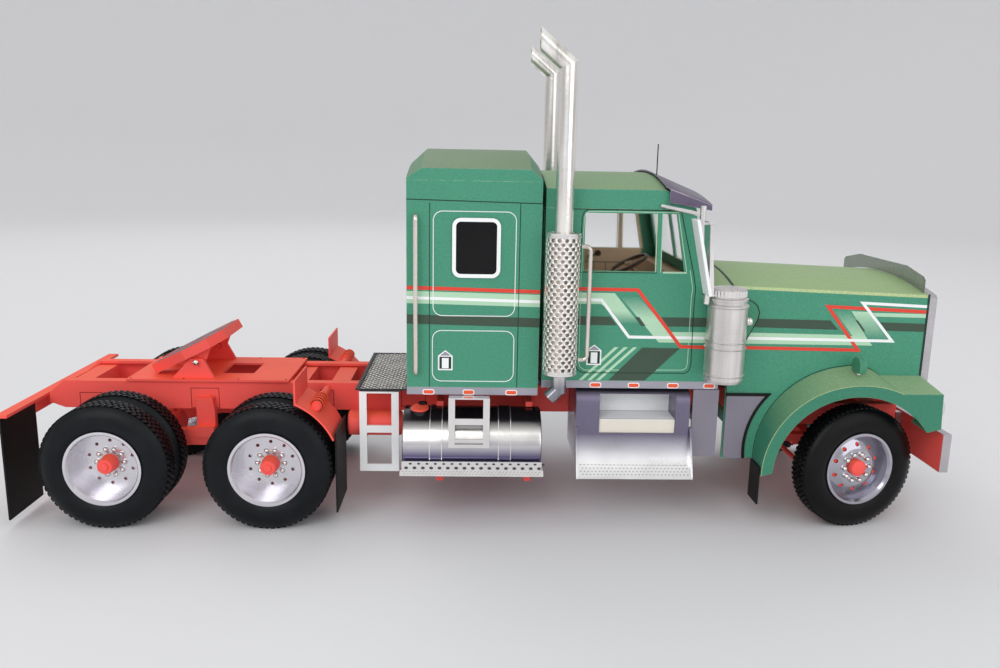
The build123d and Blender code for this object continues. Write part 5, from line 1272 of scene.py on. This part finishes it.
class TRACTOR_OT_hood_prints(PieceOperator, bpy.types.Operator):
    """Bands and stripes on the hood's sides, pale lines along its folds and the dark seam at the cab"""
    bl_idname = "tractor.hood_prints"
    bl_label = "Print hood"

    def build_side(self, settings, word, side):
        x0, x1 = HOOD_X[0] + 0.05, HOOD_X[1] - 0.05
        mesh = bmesh.new()
        add_prints(mesh, side_place(HOOD_Y, side), self.lift, [
            (DARK, 1, [(x0, 71.4), (124.2, 70.7), (121.2, 74.0), (x0, 74.5)]),
            (DARK, 1.3, [(133.0, 70.3), (133.9, 70.3), (130.9, 74.1), (130.0, 74.2)]),
            (DARK, 1, [(141.1, 70.6), (x1, 70.3), (x1, 73.2), (138.7, 73.6)]),
            (PALE, 1, [(x0, 65.4), (136.9, 65.2), (135.2, 67.2), (127.3, 68.9), (x0, 69.4)]),
            (PALE, 1, [(137.0, 75.6), (x1, 75.3), (x1, 76.7), (135.8, 76.9)]),
            (STRIPE, 1.5, [(x0, 64.0), (131.9, 63.5), (119.9, 78.9), (x1, 77.4)], 1.15),
            (RIM, 1.6, [(x0, 67.4), (143.7, 66.9), (132.0, 80.3), (x1, 79.3)], 1.0),
            (LINE, 2, [(x0 + 0.2, 45.6), (x0 + 0.2, 83.6)], self.line),
            (LINE, 2, [(x1 - 0.4, 45.6), (x1 - 0.4, 83.6)], self.line * 2.6)])
        add_along(mesh, [hood_point(x, HOOD_FOLD) for x in (x0, x1)], side,
                  ((0, 0.9, -0.9), (0, 0, 0), (0, 0.05, 0.07), (0, 0.97, -0.85)), 6)
        add_along(mesh, [hood_point(103.0, 20.5), hood_point(153.4, 24.0)], side,
                  ((0, -0.14, 0), (0, 0.14, 0), (0, 0.14, 0.08), (0, -0.14, 0.08)), 6)
        add_along(mesh, [hood_point(86.1, k * HOOD_FOLD / 12) for k in range(13)], side,
                  ((-0.05, 0, -0.05), (0.65, 0, -0.05), (0.65, 0, 0.06), (-0.05, 0, 0.06)), LINE)
        finish_piece(f"hood_prints_{word}", mesh, PRINTS + ["core print"])


class TRACTOR_OT_fades(PieceOperator, bpy.types.Operator):
    """Slanted prints that run from green to pale between the stripes"""
    bl_idname = "tractor.fades"
    bl_label = "Print fades"

    def build_side(self, settings, word, side):
        mesh = bmesh.new()
        layer = mesh.verts.layers.float.new("fade")
        for y, outline, values in (
                (CAB_Y, ((43.6, 77.2), (49.5, 77.2), (53.2, 73.0), (46.8, 73.0)), (1.0, 1.0, 0.0, 0.0)),
                (CAB_Y, ((46.3, 82.0), (52.7, 82.0), (59.7, 74.5), (53.0, 74.5)), (0.0, 0.0, 1.0, 1.0)),
                (HOOD_Y, ((122.2, 77.5), (127.9, 77.4), (135.2, 67.2), (130.5, 67.3)), (0.0, 0.0, 1.0, 1.0)),
                (HOOD_Y, ((128.2, 77.4), (134.2, 77.2), (141.8, 67.6), (135.4, 67.6)), (1.0, 1.0, 0.0, 0.0))):
            before = len(mesh.verts)
            add_fill(mesh, side_place(y, side), outline, (SUNK, self.lift * 0.9))
            for v, value in zip(list(mesh.verts)[before:], values * 2):
                v[layer] = value
        finish_piece(f"fades_{word}", mesh, ["fade in"])


class TRACTOR_OT_strip_lamps(PieceOperator, bpy.types.Operator):
    """Orange marker lamps with pale rims in the base strips"""
    bl_idname = "tractor.strip_lamps"
    bl_label = "Fit marker lamps"

    def build_side(self, settings, word, side):
        mesh = bmesh.new()
        for y, z, xs in ((SLEEPER_Y, 48.6, (-18.6, -4.9, 9.8)), (CAB_Y, 51.1, (39.0, 52.3, 66.0, 78.7))):
            for x in xs:
                add_prints(mesh, side_place(y, side), self.lift, [
                    (0, 1, rounded(x - 2.05, z - 0.95, x + 2.05, z + 0.95, 0.75)),
                    (1, 3, rounded(x - 1.7, z - 0.62, x + 1.7, z + 0.62, 0.5))])
        finish_piece(f"strip_lamps_{word}", mesh, ["white print", "marker print"])


OPERATORS = (TRACTOR_OT_stage, TRACTOR_OT_finishes, TRACTOR_OT_tyres, TRACTOR_OT_guards, TRACTOR_OT_deck,
             TRACTOR_OT_wheel_fittings, TRACTOR_OT_coupling, TRACTOR_OT_tank_fittings, TRACTOR_OT_steps,
             TRACTOR_OT_arms, TRACTOR_OT_mirrors, TRACTOR_OT_front, TRACTOR_OT_cleaners, TRACTOR_OT_interior,
             TRACTOR_OT_sleeper_prints, TRACTOR_OT_cab_prints, TRACTOR_OT_hood_prints, TRACTOR_OT_fades,
             TRACTOR_OT_strip_lamps)


class TRACTOR_PT_build(bpy.types.Panel):
    """Lists the tractor's steps"""
    bl_idname = "TRACTOR_PT_build"
    bl_label = "Card tractor"
    bl_space_type = "VIEW_3D"
    bl_region_type = "UI"
    bl_category = "Tractor"

    def draw(self, context):
        for kind in OPERATORS:
            self.layout.operator(kind.bl_idname)


CLASSES = (CardColours, PrintSizes, TyreSizes, GuardSizes, StageLook, TractorSettings, *OPERATORS,
           TRACTOR_PT_build)


def register():
    for kind in CLASSES:
        bpy.utils.register_class(kind)
    bpy.types.Scene.tractor = PointerProperty(type=TractorSettings)


def unregister():
    del bpy.types.Scene.tractor
    for kind in reversed(CLASSES):
        bpy.utils.unregister_class(kind)


def main():
    register()
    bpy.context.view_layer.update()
    for kind in OPERATORS:
        area, name = kind.bl_idname.split(".")
        getattr(getattr(bpy.ops, area), name)()


if __name__ == "__main__":
    main()
